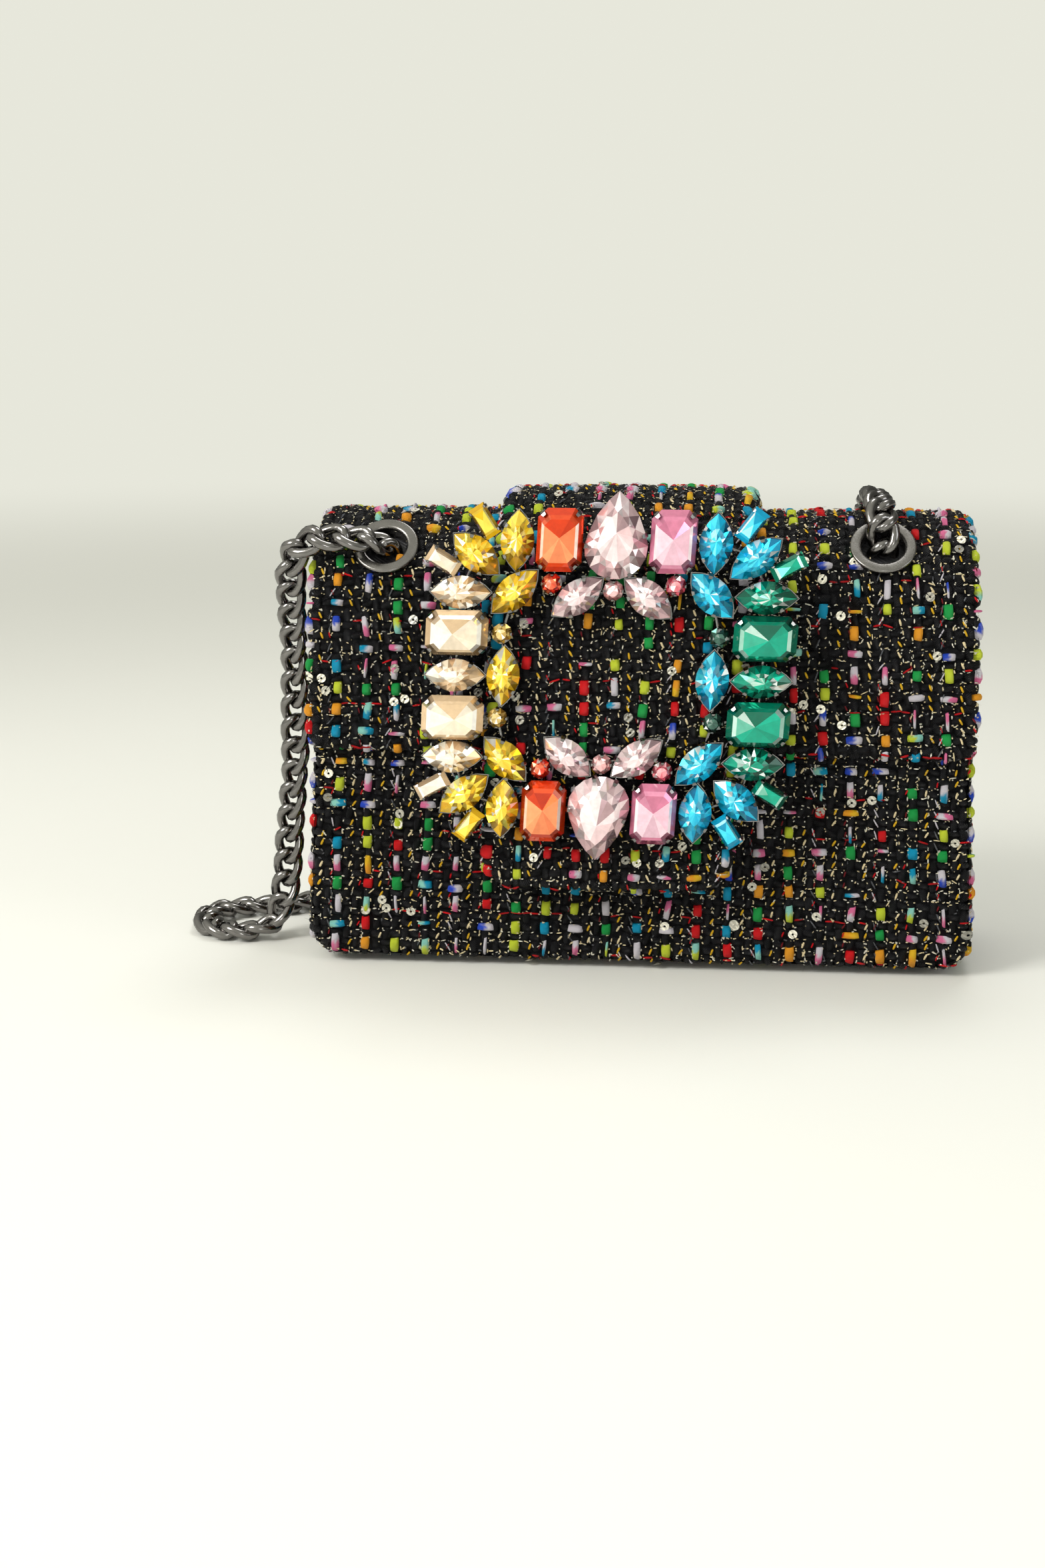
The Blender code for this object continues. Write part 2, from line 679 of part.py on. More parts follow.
def make_frame(frame, stones, hinge):
    """The soldered cups and wires of one part of the ornament, as one solid."""
    cups = [make_cup(name, kind, place) for name, kind, place, _, _ in stones]
    places = [Vector(place[:2]) for _, _, place, _, _ in stones]
    joined, wires = {0}, []
    while len(joined) < len(places):
        near = min(
            ((places[i] - places[j]).length, i, j)
            for i in joined for j in range(len(places)) if j not in joined
        )
        _, i, j = near
        joined.add(j)
        wires.append(make_wire(f"wire_{frame}_{j}", places[i], places[j]))
    base = add_object(f"setting_{frame}", cups[0].data.copy(), SILVER, hinge)
    others = new_collection(f"setting_{frame}_pieces", hidden=True)
    for piece in cups[1:] + wires:
        piece.hide_render = True
        piece.display_type = "WIRE"
        CUTTERS.objects.unlink(piece)
        others.objects.link(piece)
    bpy.data.objects.remove(cups[0], do_unlink=True)
    add_modifier(
        base, "BOOLEAN", operation="UNION", solver="EXACT", operand_type="COLLECTION",
        collection=others,
    )


def make_ornament(hinge):
    stones = all_stones()
    for name, kind, place, _, side in stones:
        if kind not in ("round", "baguette"):
            make_stone(name, kind, place, side, hinge)
    for frame in ("top", "bottom", "left", "right"):
        make_frame(frame, [stone for stone in stones if stone[3] == frame], hinge)


# ---- the chain ----
def through(points, step):
    """Points on a smooth curve through the given ones, at most step apart."""
    ends = [2 * points[0] - points[1]] + points + [2 * points[-1] - points[-2]]
    found = []
    for a, b, c, d in zip(ends, ends[1:], ends[2:], ends[3:]):
        long = (c - b).length
        before = (c - a) / max((c - b).length + (b - a).length, 1e-9) * long
        after = (d - b) / max((d - c).length + (c - b).length, 1e-9) * long
        count = max(1, math.ceil(long / step))
        for i in range(count):
            t = i / count
            found.append(
                b * (2 * t**3 - 3 * t**2 + 1) + before * (t**3 - 2 * t**2 + t)
                + c * (3 * t**2 - 2 * t**3) + after * (t**3 - t**2)
            )
    return found + [points[-1]]


def make_chain():
    points = through([Vector(p) / 1000 for p in CHAIN_ROUTE], CHAIN_STEP)
    curve = bpy.data.curves.new("chain_strap", "CURVE")
    curve.dimensions = "3D"
    curve.bevel_depth = CHAIN_RADIUS
    curve.bevel_resolution = 2
    curve.use_fill_caps = True
    spline = curve.splines.new("POLY")
    spline.points.add(len(points) - 1)
    for point, co in zip(spline.points, points):
        point.co = (*co, 1)
    add_object("chain_strap", curve, GUNMETAL)


clear_scene()
BAG = new_collection("evening_bag")
CUTTERS = new_collection("cutters", hidden=True)
flap_hinge = bpy.data.objects.new("flap_hinge", None)
flap_hinge.location = (0, HINGE_Y, HINGE_Z)
BAG.objects.link(flap_hinge)
bpy.context.view_layer.update()
make_body()
make_flap(flap_hinge)
make_tab(flap_hinge)
make_magnet(flap_hinge)
for eyelet_side, eyelet_x, eyelet_degrees in EYELETS:
    make_eyelet(eyelet_side, eyelet_x, eyelet_degrees, flap_hinge)
make_ornament(flap_hinge)
make_chain()
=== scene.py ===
import json
import math

import bpy
import numpy as np
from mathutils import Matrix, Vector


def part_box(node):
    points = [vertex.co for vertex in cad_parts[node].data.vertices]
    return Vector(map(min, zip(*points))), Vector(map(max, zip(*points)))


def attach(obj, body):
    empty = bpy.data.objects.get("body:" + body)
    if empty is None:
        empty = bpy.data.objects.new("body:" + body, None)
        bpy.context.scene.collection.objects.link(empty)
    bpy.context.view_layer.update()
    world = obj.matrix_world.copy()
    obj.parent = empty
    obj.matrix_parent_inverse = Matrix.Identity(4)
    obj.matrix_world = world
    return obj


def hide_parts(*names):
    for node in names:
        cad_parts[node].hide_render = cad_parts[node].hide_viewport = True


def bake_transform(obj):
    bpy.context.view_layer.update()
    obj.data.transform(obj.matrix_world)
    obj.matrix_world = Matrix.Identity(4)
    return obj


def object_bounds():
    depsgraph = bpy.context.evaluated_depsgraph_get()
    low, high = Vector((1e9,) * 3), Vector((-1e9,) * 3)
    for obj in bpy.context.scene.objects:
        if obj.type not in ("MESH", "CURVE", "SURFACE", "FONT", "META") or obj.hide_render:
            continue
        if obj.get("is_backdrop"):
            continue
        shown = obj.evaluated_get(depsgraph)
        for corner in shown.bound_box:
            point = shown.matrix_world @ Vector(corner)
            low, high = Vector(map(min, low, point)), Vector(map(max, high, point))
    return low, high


# Lengths are in millimetres up to meshFrom, which writes metres. The front faces -Y.
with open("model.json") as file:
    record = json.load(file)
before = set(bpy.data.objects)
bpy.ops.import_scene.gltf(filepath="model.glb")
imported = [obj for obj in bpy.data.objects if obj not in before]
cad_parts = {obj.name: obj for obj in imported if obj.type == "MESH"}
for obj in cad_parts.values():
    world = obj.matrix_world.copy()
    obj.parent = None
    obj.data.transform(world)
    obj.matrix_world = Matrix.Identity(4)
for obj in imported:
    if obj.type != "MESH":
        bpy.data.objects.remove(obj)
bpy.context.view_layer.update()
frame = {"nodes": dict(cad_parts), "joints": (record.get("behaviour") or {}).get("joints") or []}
rng = np.random.default_rng(7)


def cadBox(node):
    low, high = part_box(node)
    return np.array(low) * 1000, np.array(high) * 1000


# camera
shot = {"place": (0.0220, -0.6530, 0.2020), "heading": 5.12, "down": 13.0, "lens": 50}
lens = bpy.data.cameras.new("camera")
lens.lens = shot["lens"]
lens.sensor_width = 36
eye = bpy.data.objects.new("camera", lens)
bpy.context.scene.collection.objects.link(eye)
eye.location = shot["place"]
eye.rotation_euler = (math.radians(90 - shot["down"]), 0, math.radians(shot["heading"]))
bpy.context.scene.camera = eye


def gridQuads(rows, cols, count=1, closed=False):
    # corner numbers of a grid's quads, for count grids in a row; closed joins the last column to the first
    r, c = np.meshgrid(np.arange(rows - 1), np.arange(cols if closed else cols - 1), indexing="ij")
    n = (c + 1) % cols
    one = np.stack([r * cols + c, r * cols + n, (r + 1) * cols + n, (r + 1) * cols + c], -1)
    return (one.reshape(1, -1, 4) + (np.arange(count) * rows * cols)[:, None, None]).reshape(-1, 4)


def unit(rows, least=0.0):
    # each row over its own length; least keeps a row of no length from a division by nothing
    return rows / (np.linalg.norm(rows, axis=1)[:, None] + least)


def fan(first, second, tip):
    # triangles from two rows of corner numbers to one tip
    return np.stack([first, second, np.full(len(first), tip), np.full(len(first), tip)], 1)


def layer(points, quads, slot=0, uv=None, tint=(1, 1, 1)):
    # one batch of surface: points n x 3, quads m x 4, and a UV and a colour for each point
    points = np.asarray(points, float).reshape(-1, 3)
    uv = np.zeros((len(points), 2)) if uv is None else np.asarray(uv, float).reshape(-1, 2)
    tint = np.broadcast_to(np.asarray(tint, float), (len(points), 3))
    return {"points": points, "quads": quads, "slot": slot, "uv": uv, "tint": tint}


def meshFrom(name, layers, materials, flat=False, facing=None):
    # joins batches into one mesh at the origin; a quad whose last two corners are equal is a triangle
    starts = np.cumsum([0] + [len(b["points"]) for b in layers])
    points = np.concatenate([b["points"] for b in layers]) / 1000
    quads = np.concatenate([b["quads"] + s for b, s in zip(layers, starts)])
    slots = np.concatenate([np.full(len(b["quads"]), b["slot"]) for b in layers])
    uv = np.concatenate([b["uv"] for b in layers])
    tint = np.concatenate([b["tint"] for b in layers])
    three = quads[:, 2] == quads[:, 3]
    totals = np.where(three, 3, 4)
    keep = np.ones(quads.shape, bool)
    keep[three, 3] = False
    corners = quads[keep]
    mesh = bpy.data.meshes.new(name)
    mesh.vertices.add(len(points))
    mesh.vertices.foreach_set("co", points.astype(np.float32).ravel())
    mesh.loops.add(len(corners))
    mesh.loops.foreach_set("vertex_index", corners.astype(np.int32))
    mesh.polygons.add(len(quads))
    mesh.polygons.foreach_set("loop_start", np.concatenate([[0], np.cumsum(totals)[:-1]]).astype(np.int32))
    mesh.polygons.foreach_set("material_index", slots.astype(np.int32))
    mesh.polygons.foreach_set("use_smooth", np.full(len(quads), not flat))
    mesh.uv_layers.new(name="cloth").uv.foreach_set("vector", uv[corners].astype(np.float32).ravel())
    colour = np.concatenate([tint, np.ones((len(tint), 1))], 1)
    tints = mesh.attributes.new("tint", "FLOAT_COLOR", "POINT")
    tints.data.foreach_set("color", colour.astype(np.float32).ravel())
    if facing is not None:
        facings = mesh.attributes.new("facing", "FLOAT_VECTOR", "FACE")
        facings.data.foreach_set("vector", facing.astype(np.float32).ravel())
    mesh.update(calc_edges=True)
    mesh.validate()
    for material in materials:
        mesh.materials.append(material)
    obj = bpy.data.objects.new(name, mesh)
    bpy.context.scene.collection.objects.link(obj)
    return obj


# materials
def newMaterial(name, **sockets):
    material = bpy.data.materials.new(name)
    material.use_nodes = True
    shader = material.node_tree.nodes["Principled BSDF"]
    for key, value in sockets.items():
        shader.inputs[key.replace("_", " ")].default_value = value
    return material, shader


def addNode(material, kind, settings=(), **inputs):
    # settings are the node's own, inputs are sockets by name or, after an underscore, by number
    node = material.node_tree.nodes.new("ShaderNode" + kind)
    for key, value in dict(settings).items():
        setattr(node, key, value)
    for key, value in inputs.items():
        socket = node.inputs[int(key[1:]) if key[1:].isdigit() else key.replace("_", " ")]
        if isinstance(value, bpy.types.NodeSocket):
            material.node_tree.links.new(value, socket)
        else:
            socket.default_value = value
    return node


def link(material, source, target):
    material.node_tree.links.new(source, target)


def twoTone(material, factor, colour, low, high):
    # the colour times low to the colour times high, as the factor goes from 0 to 1
    mix = addNode(material, "Mix", {"data_type": "RGBA"}, Factor=factor)
    mix.inputs[6].default_value = (*[c * low for c in colour], 1)
    mix.inputs[7].default_value = (*[c * high for c in colour], 1)
    return mix.outputs[2]


def surface(material, shader, colour, height, strength, distance):
    # joins a colour and a bump to the shader
    link(material, colour, shader.inputs["Base Color"])
    bump = addNode(material, "Bump", (), Strength=strength, Distance=distance, Height=height)
    link(material, bump.outputs[0], shader.inputs["Normal"])
    return material


def yarnMaterial(name, weave, grain, dark=0.35, **sockets):
    # tint attribute times noise, with slanting plies along each yarn and fine fibres over them; the same height
    # drives the bump and the colour, so the low places between plies and fibres are darker, down to dark times
    # the tint, and the high ones lighter: painted shade, beside the noise's random tone
    material, shader = newMaterial(name, **sockets)
    uv = addNode(material, "UVMap", {"uv_map": "cloth"}).outputs[0]
    tint = addNode(material, "Attribute", {"attribute_name": "tint"}).outputs["Color"]
    ply = addNode(material, "TexWave", {"bands_direction": "DIAGONAL"}, Vector=uv,
                  Scale=weave, Distortion=2.5, Detail=2.0)
    fibre = addNode(material, "TexNoise", (), Vector=uv, Scale=grain, Detail=4.0)
    both = addNode(material, "Math", {"operation": "MULTIPLY_ADD"}, _0=fibre.outputs[0],
                   _1=0.9, _2=ply.outputs[1])
    # painted shade: the colour follows the bump's height, darkest in its low places
    shade = addNode(material, "MapRange", (), Value=both.outputs[0], From_Min=0.3,
                    From_Max=1.6, To_Min=dark, To_Max=1.35)
    mix = addNode(material, "VectorMath", {"operation": "SCALE"}, _0=tint, Scale=shade.outputs[0])
    return surface(material, shader, mix.outputs[0], both.outputs[0], 0.9, 0.0003)


def brushedMetal(name, colour, rough, scale=(900, 900, 60), depth=0.00002):
    # base colour and roughness drift, with fine scratches from stretched noise
    material, shader = newMaterial(name, Metallic=1.0)
    place = addNode(material, "TexCoord").outputs["Object"]
    stretch = addNode(material, "Mapping", (), Vector=place, Scale=scale)
    line = addNode(material, "TexNoise", (), Vector=stretch.outputs[0], Scale=1.0, Detail=3.0)
    blotch = addNode(material, "TexNoise", (), Vector=place, Scale=260.0, Detail=3.0)
    drift = twoTone(material, blotch.outputs[0], colour, 0.72, 1.22)
    spread = addNode(material, "MapRange", (), Value=line.outputs[0], To_Min=rough * 0.7,
                     To_Max=rough * 1.4)
    link(material, spread.outputs[0], shader.inputs["Roughness"])
    return surface(material, shader, drift, line.outputs[0], 0.5, depth)


def twillMaterial(name, colour, scale, rough=0.5):
    # slanting ribs on Object coordinates, with a slow random change of tone; the ribs' colour rises with the
    # same height that drives their bump, so their grooves carry a painted shade
    material, shader = newMaterial(name, Roughness=rough, Sheen_Weight=0.25, Sheen_Roughness=0.4)
    place = addNode(material, "TexCoord").outputs["Object"]
    rib = addNode(material, "TexWave", {"bands_direction": "DIAGONAL"}, Vector=place,
                  Scale=scale, Distortion=0.6, Detail=1.0)
    slow = addNode(material, "TexNoise", (), Vector=place, Scale=45.0, Detail=3.0)
    total = addNode(material, "Math", {"operation": "MULTIPLY"}, _0=rib.outputs[1],
                    _1=slow.outputs[0])
    return surface(material, shader, twoTone(material, total.outputs[0], colour, 0.6, 1.9),
                   rib.outputs[1], 0.4, 0.00015)


# the number after the two scales is how dark the yarns' painted shade goes
blackYarn = yarnMaterial("blackYarn", 1.1, 3.2, 0.25, Roughness=0.36, Specular_IOR_Level=0.16)
ribbonYarn = yarnMaterial("ribbonYarn", 2.6, 7.0, 0.7, Roughness=0.5, Specular_IOR_Level=0.25)
goldThread = yarnMaterial("goldThread", 3.0, 9.0, 0.8, Roughness=0.25, Metallic=0.3)
sequinFilm = yarnMaterial("sequinFilm", 0.4, 1.5, 0.85, Roughness=0.25, Metallic=0.2, Coat_Weight=0.6)
fuzzFibre = yarnMaterial("fuzzFibre", 1.0, 2.0, Roughness=0.9, Specular_IOR_Level=0.1)
gunmetal = brushedMetal("gunmetal", (0.19, 0.182, 0.175), 0.17)
eyeletMetal = brushedMetal("eyeletMetal", (0.19, 0.182, 0.172), 0.27, (1400, 1400, 1400), 0.00003)
plainSteel = brushedMetal("plainSteel", (0.52, 0.52, 0.53), 0.3)
settingMetal = brushedMetal("settingMetal", (0.24, 0.235, 0.23), 0.16)
liningTwill = twillMaterial("liningTwill", (0.012, 0.012, 0.014), 420.0)
tabTwill = twillMaterial("tabTwill", (0.010, 0.010, 0.011), 520.0, 0.6)
boardGrain = twillMaterial("boardGrain", (0.16, 0.12, 0.075), 130.0, 0.85)
clothMaterials = [blackYarn, ribbonYarn, goldThread, sequinFilm, fuzzFibre]

# chain
chain = {"width": 9.8, "wire": 3.0, "pitch": 7.4, "ring": 20, "round": 8, "drop": 0.5,
         "twist": 44, "square": 0.85, "wander": (0.25, 0.1), "meet": (-20, 69, 3.5)}
chainRoute = [
    (-74.5, -17.0, 121.3), (-74.5, -21.9, 126.0), (-76.7, -24.9, 128.4), (-82.0, -26.6, 129.0),
    (-90.0, -26.2, 129.2), (-97.6, -25.8, 128.4), (-102.4, -23.0, 123.4), (-104.2, -17.0, 111.0),
    (-105.0, -10.0, 87.0), (-106.4, -5.2, 60.0), (-109.4, -2.0, 34.0), (-111.6, -1.0, 14.5),
    (-115.5, -3.6, 5.0), (-125.0, -6.4, 3.5), (-134.6, -3.0, 3.5), (-139.0, 7.5, 3.5),
    (-134.8, 18.0, 3.5), (-124.0, 22.8, 3.5), (-112.5, 25.8, 3.5), (-106.0, 35.0, 3.5),
    (-103.2, 47.5, 3.5), (-99.5, 62.0, 3.5), (-92.0, 84.0, 3.5), (-76.0, 98.0, 3.5), (-54.0, 101.0, 3.5),
    (52.0, 101.0, 3.5), (67.0, 96.5, 3.5), (72.5, 85.0, 3.5), (67.0, 73.5, 3.5), (52.0, 69.0, 3.5),
    (-48.0, 69.0, 3.5), (-60.5, 64.0, 3.5), (-65.0, 53.2, 3.5), (-60.5, 42.3, 3.5), (-48.0, 37.8, 3.5),
    (46.0, 37.8, 3.5), (59.0, 37.6, 5.4), (66.2, 36.6, 14.5), (68.4, 35.6, 30.0), (68.5, 34.9, 60.0),
    (68.2, 34.5, 92.0), (68.0, 34.4, 106.6), (67.8, 30.9, 121.5), (67.9, 19.9, 133.9),
    (68.1, 4.8, 139.5), (68.4, -7.9, 139.8), (68.7, -17.0, 138.0), (69.0, -20.6, 135.4),
    (69.4, -22.7, 131.0), (69.5, -20.8, 127.1), (69.5, -16.3, 121.9),
]


def smoothLine(route, step, cuts=24):
    # a cubic through each pair of points whose ends lean along the mean of their neighbours, then even steps
    p = np.array(route, float)
    ends = np.concatenate([[2 * p[0] - p[1]], p, [2 * p[-1] - p[-2]]])
    a, b, c, d = ends[:-3], ends[1:-2], ends[2:-1], ends[3:]
    long = np.linalg.norm(c - b, axis=1)[:, None]
    first, last = np.linalg.norm(b - a, axis=1)[:, None], np.linalg.norm(d - c, axis=1)[:, None]
    before, after = (c - a) / (long + first) * long, (d - b) / (last + long) * long
    t = np.linspace(0, 1, cuts, endpoint=False)[:, None, None]
    fine = (b * (2 * t**3 - 3 * t**2 + 1) + before * (t**3 - 2 * t**2 + t)
            + c * (3 * t**2 - 2 * t**3) + after * (t**3 - t**2))
    fine = np.concatenate([fine.transpose(1, 0, 2).reshape(-1, 3), p[-1:]])
    at = np.concatenate([[0], np.cumsum(np.linalg.norm(np.diff(fine, axis=0), axis=1))])
    even = np.linspace(0, at[-1], int(round(at[-1] / step)) + 1)
    return np.stack([np.interp(even, at, fine[:, k]) for k in range(3)], 1), at[-1]


def nearTable(z):
    # 1 on the table, falling to 0 between 6 and 14 above it
    return np.clip((14 - z) / 8, 0, 1)[:, None]


def outwardOf(points):
    # Which way the chain's broad face looks: up on the table, and away from the bag's round top over it. In
    # between it looks forward and a little left on the left side, and straight off the bag elsewhere.
    x, y, z = points.T
    onLeft = x < -80
    top = unit(np.stack([0 * x, y, np.maximum(z - 100, 0)], 1), 1e-6)
    side = np.stack([np.where(onLeft, -0.35, 0), np.where(onLeft, -0.9, np.sign(y)), 0 * x], 1)
    flat = nearTable(z)
    high = np.clip((z - 96) / 16, 0, 1)[:, None]
    return flat * np.array([0, 0, 1]) + (1 - flat) * (high * top + (1 - high) * side)


def chainLinks(points, size, turn):
    # Each link is an oval along the chain, whose cross axis turns by the twist times the cosine of its own
    # angle, so that its two ends stand nearly square to each other; a round wire is carried along it.
    middle = (points[:-1] + points[1:]) / 2
    along = unit(np.diff(points, axis=0))
    out = outwardOf(middle) + turn[:, None] * np.cross(along, outwardOf(middle))
    out = unit(out - (out * along).sum(1)[:, None] * along)
    across = np.cross(out, along)
    a = np.arange(size["ring"]) / size["ring"] * 2 * math.pi
    halfLong = (size["pitch"] + size["wire"]) / 2
    halfWide = (size["width"] - size["wire"]) / 2
    lean = math.radians(size["twist"]) * np.cos(a)
    line = np.stack([halfLong * np.sign(np.cos(a)) * np.abs(np.cos(a)) ** size["square"],
                     halfWide * np.sin(a) * np.cos(lean), halfWide * np.sin(a) * np.sin(lean)], 1)
    ahead = unit(np.roll(line, -1, 0) - np.roll(line, 1, 0))
    inward = unit(-line + (line * ahead).sum(1)[:, None] * ahead)
    third = np.cross(ahead, inward)
    b = np.arange(size["round"]) / size["round"] * 2 * math.pi
    r = size["wire"] / 2
    tube = line[:, None] + r * (np.cos(b)[None, :, None] * inward[:, None]
                                + np.sin(b)[None, :, None] * third[:, None])
    world = (middle[:, None, None] + tube[None, ..., 0:1] * along[:, None, None]
             + tube[None, ..., 1:2] * across[:, None, None] + tube[None, ..., 2:3] * out[:, None, None])
    ring = np.concatenate([world, world[:, :1]], 1)
    return layer(ring, gridQuads(size["ring"] + 1, size["round"], len(middle), True)[:, ::-1])


chainLine, chainLength = smoothLine(chainRoute, chain["pitch"])
# it is two pieces, which meet behind the bag; each runs to its own eyelet
meet = int(np.argmin(np.linalg.norm(chainLine - np.array(chain["meet"]), axis=1)))
slow, quick = chain["wander"]
wander = slow * np.sin(np.arange(len(chainLine)) * 0.9) + rng.normal(0, quick, len(chainLine))
dropped = chainLine - np.array([0, 0, 1]) * (chain["drop"] * nearTable(chainLine[:, 2]))
hinge = frame["joints"][0]["pos_m"]
for name, part, start, end in (
    ("chainLeft", slice(0, meet + 1), (-0.11, 0, 0.030), (-0.10, -0.02, 0.112)),
    ("chainRight", slice(meet, len(chainLine)), (hinge[0], hinge[1] + 0.006, hinge[2] - 0.008),
     (hinge[0], hinge[1] - 0.004, hinge[2] + 0.010)),
):
    line = dropped[part]
    turn = wander[part][:-1] * np.clip(line[:-1, 2] / 60, 0.15, 1)
    piece = meshFrom(name, [chainLinks(line, chain, turn)], [gunmetal])
    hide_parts("chain_strap")
    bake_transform(piece)
    path = chainLine[part]
    path = path if name == "chainLeft" else path[::-1]
print("chain", round(chainLength), "mm")

# cloth sheets: each place function takes x, a length down the sheet and a height above it
panel = {"skinDepth": 0.7, "roll": 1.9, "corner": 9.0, "wave": 0.35, "inset": 1.2, "lift": 2.9,
         "flapTop": 96.0, "flapFlare": 2.6, "flapCorner": 4.0, "bodyTop": 95.5, "bodyFlare": 4.9,
         "bodyRoll": 2.6}
flapLow, flapHigh = cadBox("flap_outer")
bodyLow, bodyHigh = cadBox("front_panel")
backHigh = cadBox("back_panel")[1]
bandLow, bandHigh = cadBox("gusset_band")
tabLow = cadBox("tab_outer")[0]
shoulder = (flapHigh[1] - flapLow[1]) / 2
hingeZ = hinge[2] * 1000
flapFall = hingeZ - flapLow[2]


def rolled(u, v, h, low, high, corner, roll):
    # Inside the outline the cloth is flat. Past it, each point turns over a quarter circle of radius roll
    # and then runs straight down; the distance is measured from the corner circles' middles. Returns x,
    # length and height.
    low, high = np.array(low, float), np.array(high, float)
    cu = np.clip(u, low[0] + corner, high[0] - corner)
    cv = np.clip(v, low[1] + corner, high[1] - corner)
    du, dv = u - cu, v - cv
    far = np.hypot(du, dv) + 1e-9
    past = np.maximum(far - (corner - roll), 0)
    turn = np.minimum(past / roll, math.pi / 2)
    under = np.maximum(past - roll * math.pi / 2, 0)
    reach = np.minimum(far, corner - roll) + (roll + h) * np.sin(turn)
    reach = np.where(past > 0, reach, far)
    height = h * np.cos(turn) - roll * (1 - np.cos(turn)) - under
    return cu + du / far * reach, cv + dv / far * reach, height


def ripple(u, v):
    # slow unevenness of a hand-sewn sheet: three crossed sines
    waves = np.sin(u * 0.21 + v * 0.06) + np.sin(v * 0.27 - u * 0.05 + 2) + np.sin(u * 0.5 + 1)
    return panel["wave"] * waves / 3


def overShoulder(x, s, out, radius):
    # s runs from the hinge up over a half circle of that radius and down the front; under 0 it hangs behind
    turn = np.clip(s / radius, 0, math.pi)
    r = radius + out
    y = r * np.cos(turn)
    z = hingeZ + r * np.sin(turn) + np.minimum(s, 0) - np.maximum(s - math.pi * radius, 0)
    return np.stack([x, y, z], -1)


flapRadius = shoulder - panel["skinDepth"]
flapEnd = math.pi * flapRadius + flapFall
flapHalf = panel["flapTop"] - panel["inset"]
bodyHalf = panel["bodyTop"] - panel["inset"]


def flapPlace(u, v, h):
    # the flap's sides flare evenly from the top of the shoulder to its lower edge
    x, s, out = rolled(u, v, h, (-flapHalf, -40), (flapHalf, flapEnd - panel["inset"]),
                       panel["flapCorner"], panel["roll"])
    points = overShoulder(x, s, out + ripple(x, s) * np.clip(s / 20, 0, 1), flapRadius)
    share = np.clip((s - math.pi / 2 * flapRadius) / (flapEnd - math.pi / 2 * flapRadius), 0, 1)
    points[..., 0] *= 1 + panel["flapFlare"] / flapHalf * share
    return points


def flared(x, z):
    # the body's sides flare evenly from the hinge's height down to the table
    return x * (1 + panel["bodyFlare"] / bodyHalf * (1 - np.clip(z, 0, hingeZ) / hingeZ))


def wallPlace(u, v, h):
    # a wall of the body; its upper edge isn't rolled, so the box it is rolled in ends far above it
    x, z, out = rolled(u, v, h, (-bodyHalf, panel["lift"]), (bodyHalf, 200), panel["corner"],
                       panel["bodyRoll"])
    return x, z, out, ripple(x, z)


def frontPlace(u, v, h):
    x, z, out, wave = wallPlace(u, v, h)
    return np.stack([flared(x, z), bodyLow[1] + panel["skinDepth"] - out - wave, z], -1)


def backPlace(u, v, h):
    x, z, out, wave = wallPlace(u, v, h)
    return np.stack([flared(x, z), backHigh[1] - panel["skinDepth"] + out + 0.6 * wave, z], -1)


bandHalf = (bandHigh[1] - bandLow[1]) / 2
bandMiddle = (bandHigh[1] + bandLow[1]) / 2


def bandPlace(u, v, h):
    # v runs from the left end down the side, round the lower corner, along the bottom and up the right side;
    # the ends narrow as a half ellipse towards their tops
    side, corner, top = bodyHalf, panel["corner"], bandHigh[2]
    down, bend, flat = top - corner, corner * math.pi / 2, 2 * (side - corner)
    whole = 2 * down + 2 * bend + flat
    mirror = v > whole / 2
    s = np.where(mirror, whole - v, v)
    turn = np.clip((s - down) / corner, 0, math.pi / 2)
    along = np.maximum(s - down - bend, 0)
    x = -(side - corner) - (corner + h) * np.cos(turn) + along
    z = panel["lift"] + np.where(s > down, corner - (corner + h) * np.sin(turn), top - np.minimum(s, down))
    rise = np.clip((z - hingeZ) / (top - hingeZ), 0, 0.9995)
    narrow = np.sqrt(1 - rise**2)
    return np.stack([flared(np.where(mirror, -x, x), z), bandMiddle + u * narrow, z], -1)


tabSkin = {"puff": 0.9, "roll": 2.6, "corner": 11.0, "lean": 2.5, "endX": -9.2, "half": 36.7, "start": 28}
tabRadius = -tabLow[1] - panel["skinDepth"] - 0.2
tabFrom = math.radians(tabSkin["start"]) * tabRadius
tabTo = math.pi * tabRadius + hingeZ - tabLow[2]
tabHalf = tabSkin["half"]


def tabPlace(u, v, h):
    # u is measured from the tab's own leaning middle line; a low crown runs down that line
    x, s, out = rolled(u, v, h, (-tabHalf, tabFrom), (tabHalf, tabTo), tabSkin["corner"], tabSkin["roll"])
    crown = tabSkin["puff"] * (1 - np.clip(np.abs(x) / tabHalf, 0, 1) ** 3) - tabSkin["puff"]
    x = x + tabSkin["endX"] + (tabTo - s) * math.tan(math.radians(tabSkin["lean"]))
    return overShoulder(x, s, out + crown + 0.5 * ripple(x, s), tabRadius)


eyelet = {"outer": 9.5, "hole": 6.2, "rise": 1.5, "wall": 0.7, "deep": 6.5, "edge": 0.55, "throat": 0.9,
          "up": (43, 46), "apart": 144, "shift": -2.5}

